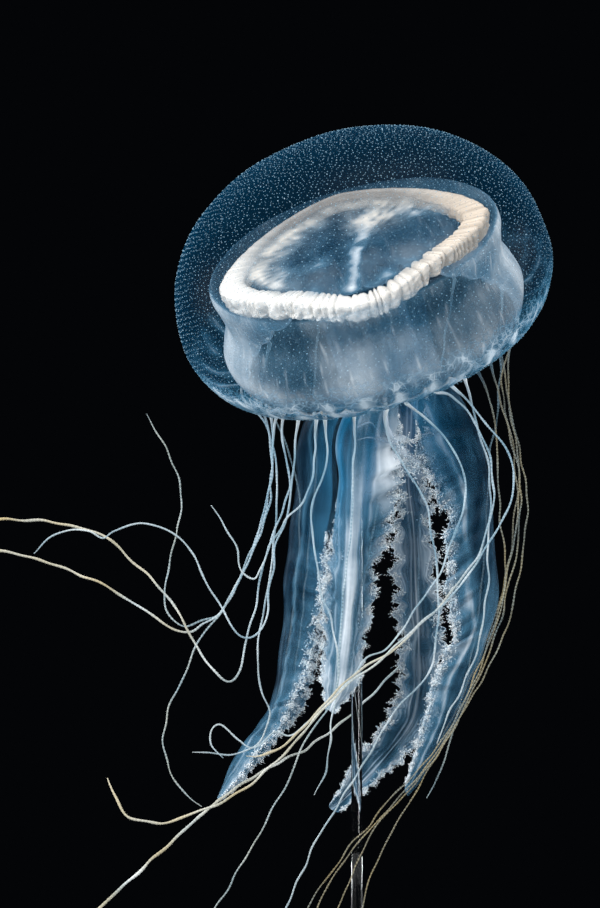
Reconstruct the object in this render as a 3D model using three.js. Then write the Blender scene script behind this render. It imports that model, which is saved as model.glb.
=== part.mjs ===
// A mesoglea jellyfish of the family Ulmaridae, life size, on a display stand.
// Millimetres, +Z up, the front of the animal towards -Y. The origin is the centre of the
// stand's underside. The bell, the gonads and the manubrium are built upright in the bell's own
// frame, with the widest circle at z = 0, and a group leans them. Arms and tentacles hang in
// the part's frame.
import * as THREE from "three";

// Driving dimensions, in mm.
const bell = {
  radius: 76.3, // at the widest circle
  crown: 58.5, // from the widest circle up to the apex
  marginRadius: 57,
  marginDrop: 26.7, // from the widest circle down to the margin
  fullness: 2.2, // exponent of the dome: 2 is an ellipse, more is squarer
  lappets: 32,
  lappetDepth: 1.3,
  lappetReach: 4, // how far above the margin the lappets begin
  leanForward: 25, // degrees towards the front
  leanSide: 17, // degrees towards -X
  centre: new THREE.Vector3(1, -7, 285),
  steps: 36, // facets round it
  domeSteps: 9, // facets from the apex down to the widest circle
  skirtSteps: 5, // facets from the widest circle down to the margin
};
// The hollow under the bell, from the margin up to the middle of the roof: radius and height.
const hollow = [
  [55, -26.2],
  [59.5, -22],
  [61.8, -14],
  [60, -6.5],
  [57.6, 1],
  [58.8, 9],
  [60, 14.6],
  [57.8, 18],
  [46, 18.9],
  [22, 19.1],
];
const gonad = {
  outerRadius: 56.9,
  top: 17.75,
  // The band's section: inwards from the outer radius, down from the top, and its share of pleat.
  section: [
    [1.5, 0, 0],
    [0, 1.8, 0],
    [0.8, 9, 0],
    [4, 10.5, 1],
    [9.5, 8.5, 1],
    [12.5, 5, 1],
    [11.5, 0, 0],
  ],
  squareness: 1.6, // exponent of the ring's outline: 2 is a circle, 1 is a square
  pleats: 5, // on each of the four
  pleatDepth: 1.5,
  steps: 15, // facets along each of the four
};
const manubrium = {
  top: 18.4,
  length: 56.8,
  cornerRadius: [34, 27, 24.5, 24],
  sideRadius: [24, 16, 13.5, 13],
  cornerSharpness: 1.5,
  firstCorner: 57, // degrees round the bell
  levels: 5, // facets down it
  steps: 16, // facets round it
};
const tentacle = {
  rootRadius: 0.95,
  bodyRadius: 0.62,
  tipRadius: 0.38,
  thinning: 3, // exponent of the taper: more keeps the body's radius for longer
  rootReach: 8, // how far down the thread its root is swollen
  rootInset: 1, // from the margin's radius in to the root
  rootDrop: 1.4, // from the margin down to the root
  nearby: 0.005, // of a thread, over which its length is measured at the split
  sides: 5,
  stepsPerPoint: 1.2, // facets along the thread for each point of its route
};
const arm = {
  thickness: 0.9,
  across: [-1, -0.55, 0, 0.55, 1], // places from lip to lip, with the keel at 0
  frill: 1.7, // how far the lips wave out
  frillSide: 0.5, // share of the wave that goes sideways
  frillLength: 11,
  rootShare: 0.16, // of an arm, over which it turns from the stalk's corner into its own lie
  rootDrop: 0.95, // from the stalk down to the arm
  rootLip: 0.4, // radius of the lips at the root, as a share of the stalk's corner radius
  split: 0.5, // where the upper length ends, as a share of the arm
  splitGap: 0.003,
  steps: 13, // facets along each length
};
const stand = {
  baseRadius: 75,
  baseHeight: 12,
  baseEdge: 2, // bevel at the top
  baseFoot: 1, // bevel at the bottom
  rodRadius: 2.2,
  tipRadius: 3.4,
  rodAt: new THREE.Vector2(-2, 16),
  baseSteps: 36,
  rodSteps: 12,
  tipSteps: 5,
};
const gap = 0.35; // between pieces that touch

// Each arm is a trough: a keel on its outer side, and two frilled lips whose middle line is
// "lips", "opening" apart on each side of it. Points run from the manubrium to the tip.
const arms = [
  {
    name: "left",
    corner: 1,
    keel: [
      [-24, 30, 229], [-26, 34, 208], [-29, 36, 188], [-31, 37, 164], [-32, 37, 144],
      [-36, 35, 120], [-42, 32, 109], [-50, 30, 98], [-58, 26, 80],
    ],
    lips: [
      [-10, 28, 228], [-11, 32, 200], [-15, 34, 178], [-18, 35, 160], [-22, 35, 140],
      [-26, 33, 122], [-35, 31, 107], [-45, 28, 94], [-57, 25.5, 79],
    ],
    opening: [9, 6, 6, 6, 5.5, 5, 4.5, 4, 1],
  },
  {
    name: "front",
    corner: 2,
    keel: [
      [-3, -13, 222], [-4, -14, 200], [-5, -14, 180], [-6, -14, 160], [-8, -13, 140],
      [-10, -12, 124], [-13, -11, 116],
    ],
    lips: [
      [2, 0, 226], [1, -2, 206], [-2, -4, 186], [-5, -5, 166], [-7, -6, 146], [-9, -8, 129],
      [-13, -10, 115],
    ],
    opening: [9, 12.5, 11, 9.5, 8, 7, 6, 1.5],
  },
  {
    name: "right",
    corner: 3,
    keel: [
      [43, 0, 234], [48, 2, 222], [51, 4, 208], [52, 5, 192], [54, 6, 176], [54, 6, 160],
      [50, 5, 144], [44, 4, 125], [36, 2, 109], [28, 0, 95], [18, -2, 82],
    ],
    lips: [
      [25, 8, 232], [30, 8, 212], [38, 8, 198], [38, 8, 180], [38, 8, 164], [40, 7, 150],
      [37, 6, 138], [31, 5, 125], [27, 3, 110], [22, 0, 97], [17, -2, 84],
    ],
    opening: [9, 6, 6, 6, 6, 5.5, 5, 4.5, 4, 1],
  },
  {
    name: "back",
    corner: 0,
    keel: [
      [20, 36, 230], [19, 42, 208], [21, 46, 188], [22, 47, 164], [23, 47, 144], [23, 45, 124],
      [20, 43, 110], [11, 40, 98], [0, 37, 86], [-12, 35, 75],
    ],
    lips: [
      [17, 27, 226], [20, 31, 206], [21, 34, 188], [22, 36, 164], [24, 36, 144], [23, 35, 124],
      [18, 34, 109], [9, 33, 98], [-1, 32, 87], [-11, 33, 76],
    ],
    opening: [9, 4.5, 5, 6.5, 6.5, 6.5, 6, 5, 2],
  },
];

// Each tentacle leaves the margin at "round", in degrees round the bell, and follows "route",
// its places across (x) and up (z). "depth" gives its places front to back (y), evenly spread
// from the root to the tip.
const tentacles = [
  {
    round: 197,
    lengths: 2,
    depth: [-12, -9],
    route: [
      [-38, 230], [-36, 212], [-40, 191], [-49, 168], [-56, 156], [-63, 152], [-71, 150],
      [-77, 154], [-79, 161], [-77, 174], [-74, 188], [-72, 200], [-76, 216], [-86, 234],
    ],
  },
  {
    round: 205,
    lengths: 2,
    depth: [-18, -14],
    route: [
      [-36, 230], [-36, 212], [-40, 192], [-45, 178], [-50, 167], [-56, 156], [-63, 151],
      [-69, 147], [-79, 151], [-101, 165], [-125, 175], [-145, 180], [-157, 182],
    ],
  },
  {
    round: 213,
    lengths: 2,
    depth: [-23, -20],
    route: [
      [-35, 230], [-36, 212], [-38, 194], [-44, 179], [-49, 168], [-56, 156], [-65, 144],
      [-72, 128], [-78, 114], [-79, 102], [-74, 87], [-64, 78],
    ],
  },
  {
    round: 215,
    lengths: 2,
    depth: [-29, -27],
    route: [
      [-32, 225], [-29, 209], [-31, 198], [-36, 185], [-40, 172], [-42, 160], [-46, 145],
      [-49, 132], [-53, 128], [-59, 132], [-66, 142], [-73, 155], [-82, 167], [-93, 177],
      [-101, 185], [-113, 189], [-129, 192], [-157, 192],
    ],
  },
  {
    round: 224,
    lengths: 2,
    depth: [-34, -30],
    route: [
      [-27, 220], [-28, 205], [-31, 191], [-35, 179], [-37, 162], [-39, 151], [-43, 146.5],
      [-48, 146], [-52, 150], [-58, 161], [-64, 171], [-68, 180], [-74, 186], [-87, 191],
      [-98, 188], [-103, 185], [-109, 187.5], [-116, 188.5], [-124, 185], [-131, 179],
    ],
  },
  {
    round: 233,
    lengths: 1,
    depth: [-41, -37],
    route: [
      [-19, 221], [-20, 208], [-25, 198], [-31, 191], [-37, 182], [-40, 173], [-43, 169],
      [-48, 172], [-50, 181], [-56, 192], [-60, 198],
    ],
  },
  {
    round: 237,
    lengths: 2,
    depth: [-38, -28],
    route: [
      [-14, 218], [-16, 209], [-20, 198], [-20, 188], [-18, 174], [-16, 162], [-12, 151],
      [-10, 138], [-10, 124], [-12, 115], [-13, 104], [-14, 94], [-19, 83],
    ],
  },
  {
    round: 250,
    lengths: 2,
    depth: [-43, -34],
    route: [
      [-3, 224], [-4, 210], [-4, 196], [-6, 176], [-8, 160], [-9, 140], [-12, 120], [-21, 108],
      [-29, 90], [-43, 64], [-63, 30],
    ],
  },
  {
    round: 264,
    lengths: 2,
    depth: [-27, -22],
    route: [
      [9, 230], [13, 219], [19, 210], [25, 199], [28, 184], [30, 168], [30, 152], [28, 136],
      [22, 125], [14, 118], [7, 106], [-7, 83], [-18, 65], [-28, 43], [-33, 31],
    ],
  },
  {
    round: 272,
    lengths: 2,
    depth: [-49, -44],
    route: [
      [23, 234], [31, 227], [37, 218], [41, 206], [40, 197], [36, 186], [31, 172], [23, 160],
      [15, 148], [9, 141], [1, 137], [-5, 129], [-15, 119], [-24, 110], [-29, 107], [-35, 108],
      [-43, 102], [-49, 105], [-56, 111], [-60, 109], [-60, 103], [-55, 98],
    ],
  },
  {
    round: 285,
    lengths: 2,
    depth: [-54, -50],
    route: [
      [36, 241], [45, 230], [50, 218], [52, 204], [50, 191], [46, 179], [39, 169], [31, 159],
      [21, 149], [11, 140], [-1, 133], [-11, 124], [-19, 115], [-29, 105], [-39, 99], [-46, 99],
    ],
  },
  {
    round: 292,
    lengths: 2,
    depth: [-59, -47],
    route: [
      [42, 239], [51, 228], [57, 220], [60, 210], [58, 198], [51, 185], [44, 174], [34, 161],
      [21, 150], [7, 137], [-5, 128], [-17, 116], [-29, 102], [-43, 89], [-55, 81], [-65, 77],
      [-81, 72], [-92, 75], [-98, 82], [-101, 90],
    ],
  },
  {
    round: 299,
    lengths: 1,
    depth: [-25, -20],
    route: [
      [43, 240], [46, 228], [50, 214], [51, 200], [50, 184], [50, 168], [48, 152], [45, 138],
      [39, 124], [33, 112], [30, 103],
    ],
  },
  {
    round: 306,
    lengths: 2,
    depth: [-16, -14],
    route: [
      [50, 242], [53, 228], [54, 210], [55, 192], [57, 176], [56, 160], [51, 144], [43, 124],
      [33, 106], [23, 93], [14, 84], [3, 71], [-7, 59], [-17, 45], [-26, 31],
    ],
  },
  {
    round: 314,
    lengths: 2,
    depth: [-23, -20],
    route: [
      [54, 243], [58, 228], [62, 212], [62, 196], [59, 177], [54, 155], [48, 138], [40, 119],
      [30, 100], [16, 83], [4, 70], [-6, 58], [-14, 46], [-18, 37], [-20, 29],
    ],
  },
  {
    round: 322,
    lengths: 2,
    depth: [-10, -9],
    route: [
      [57, 248], [59, 234], [62, 218], [63, 200], [62, 182], [58, 164], [53, 145], [45, 126],
      [35, 106], [23, 89], [11, 76], [3, 66], [-4, 50], [-10, 37], [-14, 28],
    ],
  },
  {
    round: 333,
    lengths: 2,
    depth: [-4, -4],
    route: [
      [58, 248], [60, 232], [64, 214], [66, 198], [64, 178], [60, 157], [55, 142], [45, 123],
      [33, 103], [20, 81], [9, 62], [2, 45], [-2, 28],
    ],
  },
  {
    round: 345,
    lengths: 1,
    depth: [17, 15],
    route: [
      [56, 250], [57, 238], [60, 224], [62, 208], [61, 190], [58, 170], [53, 152], [46, 134],
      [38, 116], [31, 102],
    ],
  },
  {
    round: 20,
    lengths: 1,
    depth: [27, 21],
    route: [
      [55, 240], [52, 220], [50, 192], [48, 164], [44, 136], [38, 112], [32, 92], [26, 80],
    ],
  },
  {
    round: 50,
    lengths: 2,
    depth: [54, 54, 46, 24, 4, -10],
    route: [
      [31, 248], [26, 220], [24, 192], [23, 164], [22, 144], [16, 134], [6, 123], [-7, 111],
      [-22, 100], [-36, 93], [-51, 84], [-63, 75], [-83, 57], [-105, 37], [-115, 28],
    ],
  },
  {
    round: 80,
    lengths: 1,
    depth: [58, 52],
    route: [
      [12, 260], [10, 220], [5, 188], [0, 160], [-4, 136], [-7, 118],
    ],
  },
  {
    round: 110,
    lengths: 1,
    depth: [57, 51],
    route: [
      [-19, 248], [-18, 216], [-21, 184], [-24, 152], [-28, 124], [-33, 106],
    ],
  },
  {
    round: 140,
    lengths: 1,
    depth: [52, 50, 46],
    route: [
      [-40, 244], [-31, 224], [-25, 200], [-26, 172], [-29, 144], [-34, 120], [-40, 102],
      [-47, 89],
    ],
  },
  {
    round: 165,
    lengths: 2,
    depth: [16, 14],
    route: [
      [-48, 242], [-38, 229], [-34, 208], [-36, 176], [-40, 152], [-42, 138], [-40, 123],
      [-37, 113], [-42, 102], [-52, 98], [-68, 99],
    ],
  },
];

const jelly = new THREE.MeshStandardMaterial({ color: 0x2c5f7c, roughness: 0.25, metalness: 0 });
const cream = new THREE.MeshStandardMaterial({ color: 0xefe9dc, roughness: 0.6, metalness: 0 });
const veil = new THREE.MeshStandardMaterial({ color: 0x8fb0c8, roughness: 0.35, metalness: 0 });
const thread = new THREE.MeshStandardMaterial({ color: 0xc9d6dc, roughness: 0.4, metalness: 0 });
const acrylic = new THREE.MeshStandardMaterial({ color: 0xd8dee2, roughness: 0.08, metalness: 0 });
const lacquer = new THREE.MeshStandardMaterial({ color: 0x1f2326, roughness: 0.35, metalness: 0 });

const lean = new THREE.Matrix4()
  .makeTranslation(bell.centre.x, bell.centre.y, bell.centre.z)
  .multiply(new THREE.Matrix4().makeRotationY(-THREE.MathUtils.degToRad(bell.leanSide)))
  .multiply(new THREE.Matrix4().makeRotationX(THREE.MathUtils.degToRad(bell.leanForward)));

// A point of the bell's own frame: degrees round, radius and height.
function roundPoint(degrees, radius, z) {
  const a = THREE.MathUtils.degToRad(degrees);
  return new THREE.Vector3(radius * Math.cos(a), radius * Math.sin(a), z);
}

// The same point in the part's frame.
function bellPoint(degrees, radius, z) {
  return roundPoint(degrees, radius, z).applyMatrix4(lean);
}

// A geometry of loose triangles, turned so that its faces point out.
function facingOut(triangles) {
  let volume = 0;
  for (const [a, b, c] of triangles) volume += a.dot(new THREE.Vector3().crossVectors(b, c));
  const turned = volume < 0 ? triangles.map(([a, b, c]) => [a, c, b]) : triangles;
  const geometry = new THREE.BufferGeometry().setFromPoints(turned.flat());
  geometry.computeVertexNormals();
  return geometry;
}

function quad(a, b, c, d) {
  return [
    [a, b, c],
    [a, c, d],
  ];
}

// A closed skin over rings of as many points each, with a fan at either end to a pole.
function ringSkin(rings, firstPole, lastPole) {
  const triangles = [];
  const count = rings[0].length;
  const last = rings[rings.length - 1];
  for (let j = 0; j < count; j++) {
    const k = (j + 1) % count;
    triangles.push([firstPole, rings[0][k], rings[0][j]]);
    triangles.push([lastPole, last[j], last[k]]);
    for (let i = 0; i + 1 < rings.length; i++)
      triangles.push(...quad(rings[i][j], rings[i][k], rings[i + 1][k], rings[i + 1][j]));
  }
  return facingOut(triangles);
}

// A closed plate between two grids of points of the same size.
function plateSkin(front, back) {
  const triangles = [];
  const rows = front.length;
  const columns = front[0].length;
  for (let i = 0; i + 1 < rows; i++) {
    for (let j = 0; j + 1 < columns; j++) {
      triangles.push(...quad(front[i][j], front[i][j + 1], front[i + 1][j + 1], front[i + 1][j]));
      triangles.push(...quad(back[i][j], back[i + 1][j], back[i + 1][j + 1], back[i][j + 1]));
    }
    for (const [j, turn] of [[0, false], [columns - 1, true]]) {
      const side = [front[i][j], front[i + 1][j], back[i + 1][j], back[i][j]];
      triangles.push(...quad(...(turn ? side.reverse() : side)));
    }
  }
  for (const [i, turn] of [[0, false], [rows - 1, true]])
    for (let j = 0; j + 1 < columns; j++) {
      const end = [front[i][j], back[i][j], back[i][j + 1], front[i][j + 1]];
      triangles.push(...quad(...(turn ? end.reverse() : end)));
    }
  return facingOut(triangles);
}

// The value at t, from 0 to 1, on a smooth line through evenly spread numbers.
function between(numbers, t) {
  const line = new THREE.CatmullRomCurve3(
    numbers.map((n) => new THREE.Vector3(n, 0, 0)),
    false,
    "catmullrom",
  );
  return line.getPoint(t).x;
}

function smoothLine(points) {
  return new THREE.CatmullRomCurve3(points, false, "catmullrom");
}

// The bell: the dome's outer skin down to the margin, whose edge is cut into lappets, then the
// wall and roof of the hollow.
function bellGeometry() {
  const profile = [];
  for (let i = 1; i <= bell.domeSteps; i++) {
    const a = (i / bell.domeSteps) * (Math.PI / 2);
    profile.push([
      bell.radius * Math.sin(a) ** (2 / bell.fullness),
      bell.crown * Math.cos(a) ** (2 / bell.fullness),
    ]);
  }
  for (let i = 1; i <= bell.skirtSteps; i++) {
    const a = (i / bell.skirtSteps) * (Math.PI / 2);
    const curl = bell.radius - bell.marginRadius;
    profile.push([bell.marginRadius + curl * Math.cos(a), -bell.marginDrop * Math.sin(a)]);
  }
  profile.push(...hollow);
  const rings = profile.map(([radius, z]) => {
    const ring = [];
    for (let j = 0; j < bell.steps; j++) {
      const degrees = (j / bell.steps) * 360;
      const atMargin = Math.max(0, 1 - (z + bell.marginDrop) / bell.lappetReach);
      const lappet = Math.abs(Math.sin((THREE.MathUtils.degToRad(degrees) * bell.lappets) / 2));
      ring.push(roundPoint(degrees, radius, z + bell.lappetDepth * atMargin * (1 - lappet)));
    }
    return ring;
  });
  const roof = hollow[hollow.length - 1][1];
  return ringSkin(rings, new THREE.Vector3(0, 0, bell.crown), new THREE.Vector3(0, 0, roof));
}

// A gonad: a pleated band under the roof, a quarter of the squarish ring.
function gonadGeometry(middle) {
  const { outerRadius, top, section, squareness, pleats, pleatDepth, steps } = gonad;
  const half = 45 - THREE.MathUtils.radToDeg(gap / (2 * outerRadius));
  const rings = [];
  for (let i = 0; i <= steps; i++) {
    const degrees = middle - half + (2 * half * i) / steps;
    const a = THREE.MathUtils.degToRad(degrees);
    const spread = Math.abs(Math.cos(a)) ** squareness + Math.abs(Math.sin(a)) ** squareness;
    const outer = outerRadius / spread ** (1 / squareness);
    const pleat = pleatDepth * Math.cos((i / steps) * 2 * Math.PI * pleats);
    rings.push(
      section.map(([inwards, down, share]) =>
        roundPoint(degrees, outer - inwards + share * pleat, top - down),
      ),
    );
  }
  const middleOf = (ring) =>
    ring.reduce((sum, p) => sum.add(p), new THREE.Vector3()).divideScalar(ring.length);
  return ringSkin(rings, middleOf(rings[0]), middleOf(rings[steps]));
}

// The manubrium: a four-cornered stalk from the roof down to the four arms.
function manubriumGeometry() {
  const rings = [];
  for (let i = 0; i <= manubrium.levels; i++) {
    const t = i / manubrium.levels;
    const corner = between(manubrium.cornerRadius, t);
    const side = between(manubrium.sideRadius, t);
    const ring = [];
    for (let j = 0; j < manubrium.steps; j++) {
      const degrees = (j / manubrium.steps) * 360;
      const toCorner = (1 + Math.cos(THREE.MathUtils.degToRad(4 * degrees))) / 2;
      const radius = side + (corner - side) * toCorner ** manubrium.cornerSharpness;
      ring.push(roundPoint(manubrium.firstCorner + degrees, radius, manubrium.top - t * manubrium.length));
    }
    rings.push(ring);
  }
  const low = manubrium.top - manubrium.length;
  return ringSkin(rings, new THREE.Vector3(0, 0, manubrium.top), new THREE.Vector3(0, 0, low));
}

// One length of an arm, from t0 to t1 along it: a thin trough from lip to keel to lip.
function armGeometry({ corner, keel, lips, opening }, t0, t1) {
  const degrees = manubrium.firstCorner + 90 * corner;
  const low = manubrium.top - manubrium.length - arm.rootDrop;
  const cornerRadius = manubrium.cornerRadius[manubrium.cornerRadius.length - 1];
  const asVectors = (points) => points.map((p) => new THREE.Vector3(...p));
  const keelLine = smoothLine([bellPoint(degrees, cornerRadius, low), ...asVectors(keel)]);
  const lipLine = smoothLine([bellPoint(degrees, cornerRadius * arm.rootLip, low), ...asVectors(lips)]);
  const startSide = roundPoint(degrees - 90, 1, 0).transformDirection(lean);
  const length = keelLine.getLength();
  const front = [];
  const back = [];
  for (let i = 0; i <= arm.steps; i++) {
    const t = t0 + ((t1 - t0) * i) / arm.steps;
    const k = keelLine.getPoint(t);
    const middle = lipLine.getPoint(t);
    const out = k.clone().sub(middle);
    const along = keelLine.getTangent(t);
    const free = THREE.MathUtils.smoothstep(t, 0, arm.rootShare);
    const side = new THREE.Vector3().crossVectors(along, out).normalize();
    side.lerp(startSide, 1 - free).normalize();
    const width = between(opening, t);
    const depth = out.length();
    out.normalize();
    const wave = free * arm.frill * Math.sin((2 * Math.PI * t * length) / arm.frillLength) * (1 - t * t);
    const rowFront = [];
    const rowBack = [];
    for (const s of arm.across) {
      const edge = Math.abs(s) ** 3;
      const place = middle
        .clone()
        .addScaledVector(out, depth * (1 - s * s) + wave * edge)
        .addScaledVector(side, width * s + wave * edge * s * arm.frillSide);
      const slope = new THREE.Vector3()
        .addScaledVector(out, width)
        .addScaledVector(side, 2 * depth * s)
        .normalize()
        .multiplyScalar(arm.thickness / 2);
      rowFront.push(place.clone().add(slope));
      rowBack.push(place.clone().sub(slope));
    }
    front.push(rowFront);
    back.push(rowBack);
  }
  return plateSkin(front, back);
}

// The middle line of a tentacle, from its root on the margin to its tip.
function tentacleLine({ round, depth, route }) {
  const { rootInset, rootDrop } = tentacle;
  const root = bellPoint(round, bell.marginRadius - rootInset, -bell.marginDrop - rootDrop);
  const depths = [root.y, ...depth];
  const points = route.map(([x, z], i) => {
    const y = between(depths, (i + 1) / route.length);
    return new THREE.Vector3(x, y, z);
  });
  return smoothLine([root, ...points]);
}

// One length of a tentacle, from t0 to t1 of its route: a round thread that thins to its tip.
function tentacleGeometry(line, t0, t1) {
  const steps = Math.round((t1 - t0) * line.points.length * tentacle.stepsPerPoint);
  const root = line.getPoint(0);
  const thickening = tentacle.rootRadius - tentacle.bodyRadius;
  const side = new THREE.Vector3(0, 1, 0);
  const rings = [];
  for (let i = 0; i <= steps; i++) {
    const t = t0 + ((t1 - t0) * i) / steps;
    const at = line.getPoint(t);
    const along = line.getTangent(t);
    side.addScaledVector(along, -side.dot(along)).normalize();
    const across = new THREE.Vector3().crossVectors(along, side);
    const radius =
      THREE.MathUtils.lerp(tentacle.bodyRadius, tentacle.tipRadius, t ** tentacle.thinning) +
      thickening * Math.exp(-at.distanceTo(root) / tentacle.rootReach);
    const ring = [];
    for (let j = 0; j < tentacle.sides; j++) {
      const a = (j / tentacle.sides) * 2 * Math.PI;
      const place = at.clone().addScaledVector(side, radius * Math.cos(a));
      ring.push(place.addScaledVector(across, radius * Math.sin(a)));
    }
    rings.push(ring);
  }
  return ringSkin(rings, line.getPoint(t0), line.getPoint(t1));
}

function baseGeometry() {
  const { baseRadius, baseHeight, baseEdge, baseFoot, baseSteps } = stand;
  return new THREE.LatheGeometry(
    [
      new THREE.Vector2(0, 0),
      new THREE.Vector2(baseRadius - baseFoot, 0),
      new THREE.Vector2(baseRadius, baseFoot),
      new THREE.Vector2(baseRadius, baseHeight - baseEdge),
      new THREE.Vector2(baseRadius - baseEdge, baseHeight),
      new THREE.Vector2(0, baseHeight),
    ],
    baseSteps,
  ).rotateX(Math.PI / 2);
}

// The rod, with a round tip that carries the underside of the manubrium.
function rodGeometry() {
  const underside = new THREE.Plane().setFromNormalAndCoplanarPoint(
    new THREE.Vector3(0, 0, 1).transformDirection(lean),
    bellPoint(0, 0, manubrium.top - manubrium.length),
  );
  const { rodAt, rodRadius, rodSteps, tipRadius, tipSteps, baseHeight } = stand;
  const reach = -underside.distanceToPoint(new THREE.Vector3(rodAt.x, rodAt.y, 0)) - tipRadius - gap;
  const tipCentre = reach / underside.normal.z;
  const bottom = baseHeight + gap;
  const profile = [new THREE.Vector2(0, bottom), new THREE.Vector2(rodRadius, bottom)];
  const start = Math.asin(rodRadius / tipRadius);
  for (let i = 0; i <= tipSteps; i++) {
    const a = Math.PI - start - ((Math.PI - start) * i) / tipSteps;
    profile.push(new THREE.Vector2(tipRadius * Math.sin(a), tipCentre + tipRadius * Math.cos(a)));
  }
  profile[profile.length - 1].x = 0;
  return new THREE.LatheGeometry(profile, rodSteps)
    .rotateX(Math.PI / 2)
    .translate(rodAt.x, rodAt.y, 0);
}

const jellyfish = new THREE.Group();
jellyfish.name = "jellyfish";

function addMesh(parent, name, geometry, material) {
  const mesh = new THREE.Mesh(geometry, material);
  mesh.name = name;
  parent.add(mesh);
}

const leaning = new THREE.Group();
leaning.applyMatrix4(lean);
jellyfish.add(leaning);
addMesh(leaning, "bell", bellGeometry(), jelly);
addMesh(leaning, "manubrium", manubriumGeometry(), veil);
["right", "back", "left", "front"].forEach((side, i) =>
  addMesh(leaning, `gonad_${side}`, gonadGeometry(90 * i), cream),
);

for (const one of arms) {
  const upper = armGeometry(one, 0, arm.split - arm.splitGap);
  addMesh(jellyfish, `oral_arm_${one.name}_upper`, upper, veil);
  addMesh(jellyfish, `oral_arm_${one.name}_lower`, armGeometry(one, arm.split, 1), veil);
}

tentacles.forEach((one, i) => {
  const name = `tentacle_${String(i + 1).padStart(2, "0")}`;
  const line = tentacleLine(one);
  if (one.lengths === 1) {
    addMesh(jellyfish, name, tentacleGeometry(line, 0, 1), thread);
    return;
  }
  const nearby = line.getPoint(0.5).distanceTo(line.getPoint(0.5 - tentacle.nearby));
  const share = (gap * tentacle.nearby) / nearby;
  addMesh(jellyfish, `${name}_upper`, tentacleGeometry(line, 0, 0.5 - share), thread);
  addMesh(jellyfish, `${name}_lower`, tentacleGeometry(line, 0.5, 1), thread);
});

addMesh(jellyfish, "stand_base", baseGeometry(), lacquer);
addMesh(jellyfish, "stand_rod", rodGeometry(), acrylic);

export default jellyfish;
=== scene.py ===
import math

import bpy
import numpy as np
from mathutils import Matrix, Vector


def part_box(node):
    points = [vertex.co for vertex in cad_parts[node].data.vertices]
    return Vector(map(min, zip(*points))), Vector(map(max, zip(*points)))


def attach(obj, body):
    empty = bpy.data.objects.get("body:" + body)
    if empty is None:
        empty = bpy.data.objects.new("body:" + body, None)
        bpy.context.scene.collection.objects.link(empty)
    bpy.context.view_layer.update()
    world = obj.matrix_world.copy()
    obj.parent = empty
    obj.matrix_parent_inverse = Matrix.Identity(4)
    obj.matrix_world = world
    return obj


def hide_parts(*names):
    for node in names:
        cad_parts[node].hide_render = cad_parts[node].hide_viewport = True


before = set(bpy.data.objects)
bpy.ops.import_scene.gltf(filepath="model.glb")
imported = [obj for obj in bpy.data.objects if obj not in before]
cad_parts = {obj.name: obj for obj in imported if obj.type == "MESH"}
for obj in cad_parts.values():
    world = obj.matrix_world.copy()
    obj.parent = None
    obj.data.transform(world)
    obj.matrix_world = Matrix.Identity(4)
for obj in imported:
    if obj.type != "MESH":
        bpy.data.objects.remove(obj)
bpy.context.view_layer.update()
mm = 0.001  # the shapes below are worked out in millimetres
dice = np.random.default_rng(11)  # one seed, so that each run gives the same shapes
scene = bpy.context.scene


def stacked(*values):
    # values of any matching shapes, side by side as the last axis
    return np.stack(np.broadcast_arrays(*values), -1)


def unit(vectors):
    # each vector divided by its length; a zero vector stays as it is
    tiny = 1e-12
    return vectors / np.maximum(np.linalg.norm(vectors, axis=-1, keepdims=True), tiny)


def smoothStep(low, high, x):
    # 0 up to low, 1 from high on, and t^2 (3 - 2 t) between them
    t = np.clip((x - low) / (high - low), 0, 1)
    return t * t * (3 - 2 * t)


def hill(x, middle, width):
    # exp(-((x - middle) / width)^2), which is 1 at the middle
    return np.exp(-((x - middle) / width)**2)


def roundHill(angle, middle, width):
    # the same hill on a circle, with its middle and width in degrees
    away = np.angle(np.exp(1j * (angle - math.radians(middle))))
    return hill(away, 0, math.radians(width))


def alongLine(points, t):
    # uniform Catmull-Rom through the points, carried on straight past both ends; t is 0 to 1
    p = np.asarray(points, float)
    p = np.concatenate([2 * p[:1] - p[1:2], p, 2 * p[-1:] - p[-2:-1]])
    spans = len(p) - 3
    at = np.clip(np.asarray(t, float) * spans, 0, spans)
    i = np.minimum(at.astype(int), spans - 1)
    f = at - i
    if p.ndim > 1:
        f = f[..., None]
    a, b, c, d = p[i], p[i + 1], p[i + 2], p[i + 3]
    return 0.5 * (2 * b + (c - a) * f + (2 * a - 5 * b + 4 * c - d) * f**2
                  + (3 * b - a - 3 * c + d) * f**3)


# smooth noise: how many waves it adds, how their rates spread, and what keeps it near -1 to 1
noiseValues = {"waves": 12, "spread": (0.7, 1.6), "calm": 1.2}


def wander(coordinates, length, seed):
    # smooth noise: the sum of sine waves in random directions over the root of their number, each
    # wave about "length" from crest to crest
    chosen = np.random.default_rng(seed)
    count = noiseValues["waves"]
    directions = unit(chosen.normal(size=(coordinates.shape[-1], count)).T).T
    rates = 2 * np.pi / (length * chosen.uniform(*noiseValues["spread"], count))
    phases = chosen.uniform(0, 2 * np.pi, count)
    waves = np.sin(coordinates @ directions * rates + phases)
    return waves.sum(-1) / math.sqrt(count) / noiseValues["calm"]


def layered(coordinates, layers):
    # one noise or several added up: each layer has its strength, its length and its seed
    return sum(strength * wander(coordinates, length, seed) for strength, length, seed in layers)


# a shape is points, faces of four and of three corners, and two values for each point

def makeShape(points, quads=None, triangles=None, milk=0.0, tint=0.0):
    points = np.asarray(points, float).reshape(-1, 3)
    return {
        "points": points,
        "quads": np.zeros((0, 4), int) if quads is None else quads,
        "triangles": np.zeros((0, 3), int) if triangles is None else triangles,
        "milk": np.broadcast_to(np.asarray(milk, float).ravel(), len(points)).copy(),
        "tint": np.broadcast_to(np.asarray(tint, float).ravel(), len(points)).copy(),
    }


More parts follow.
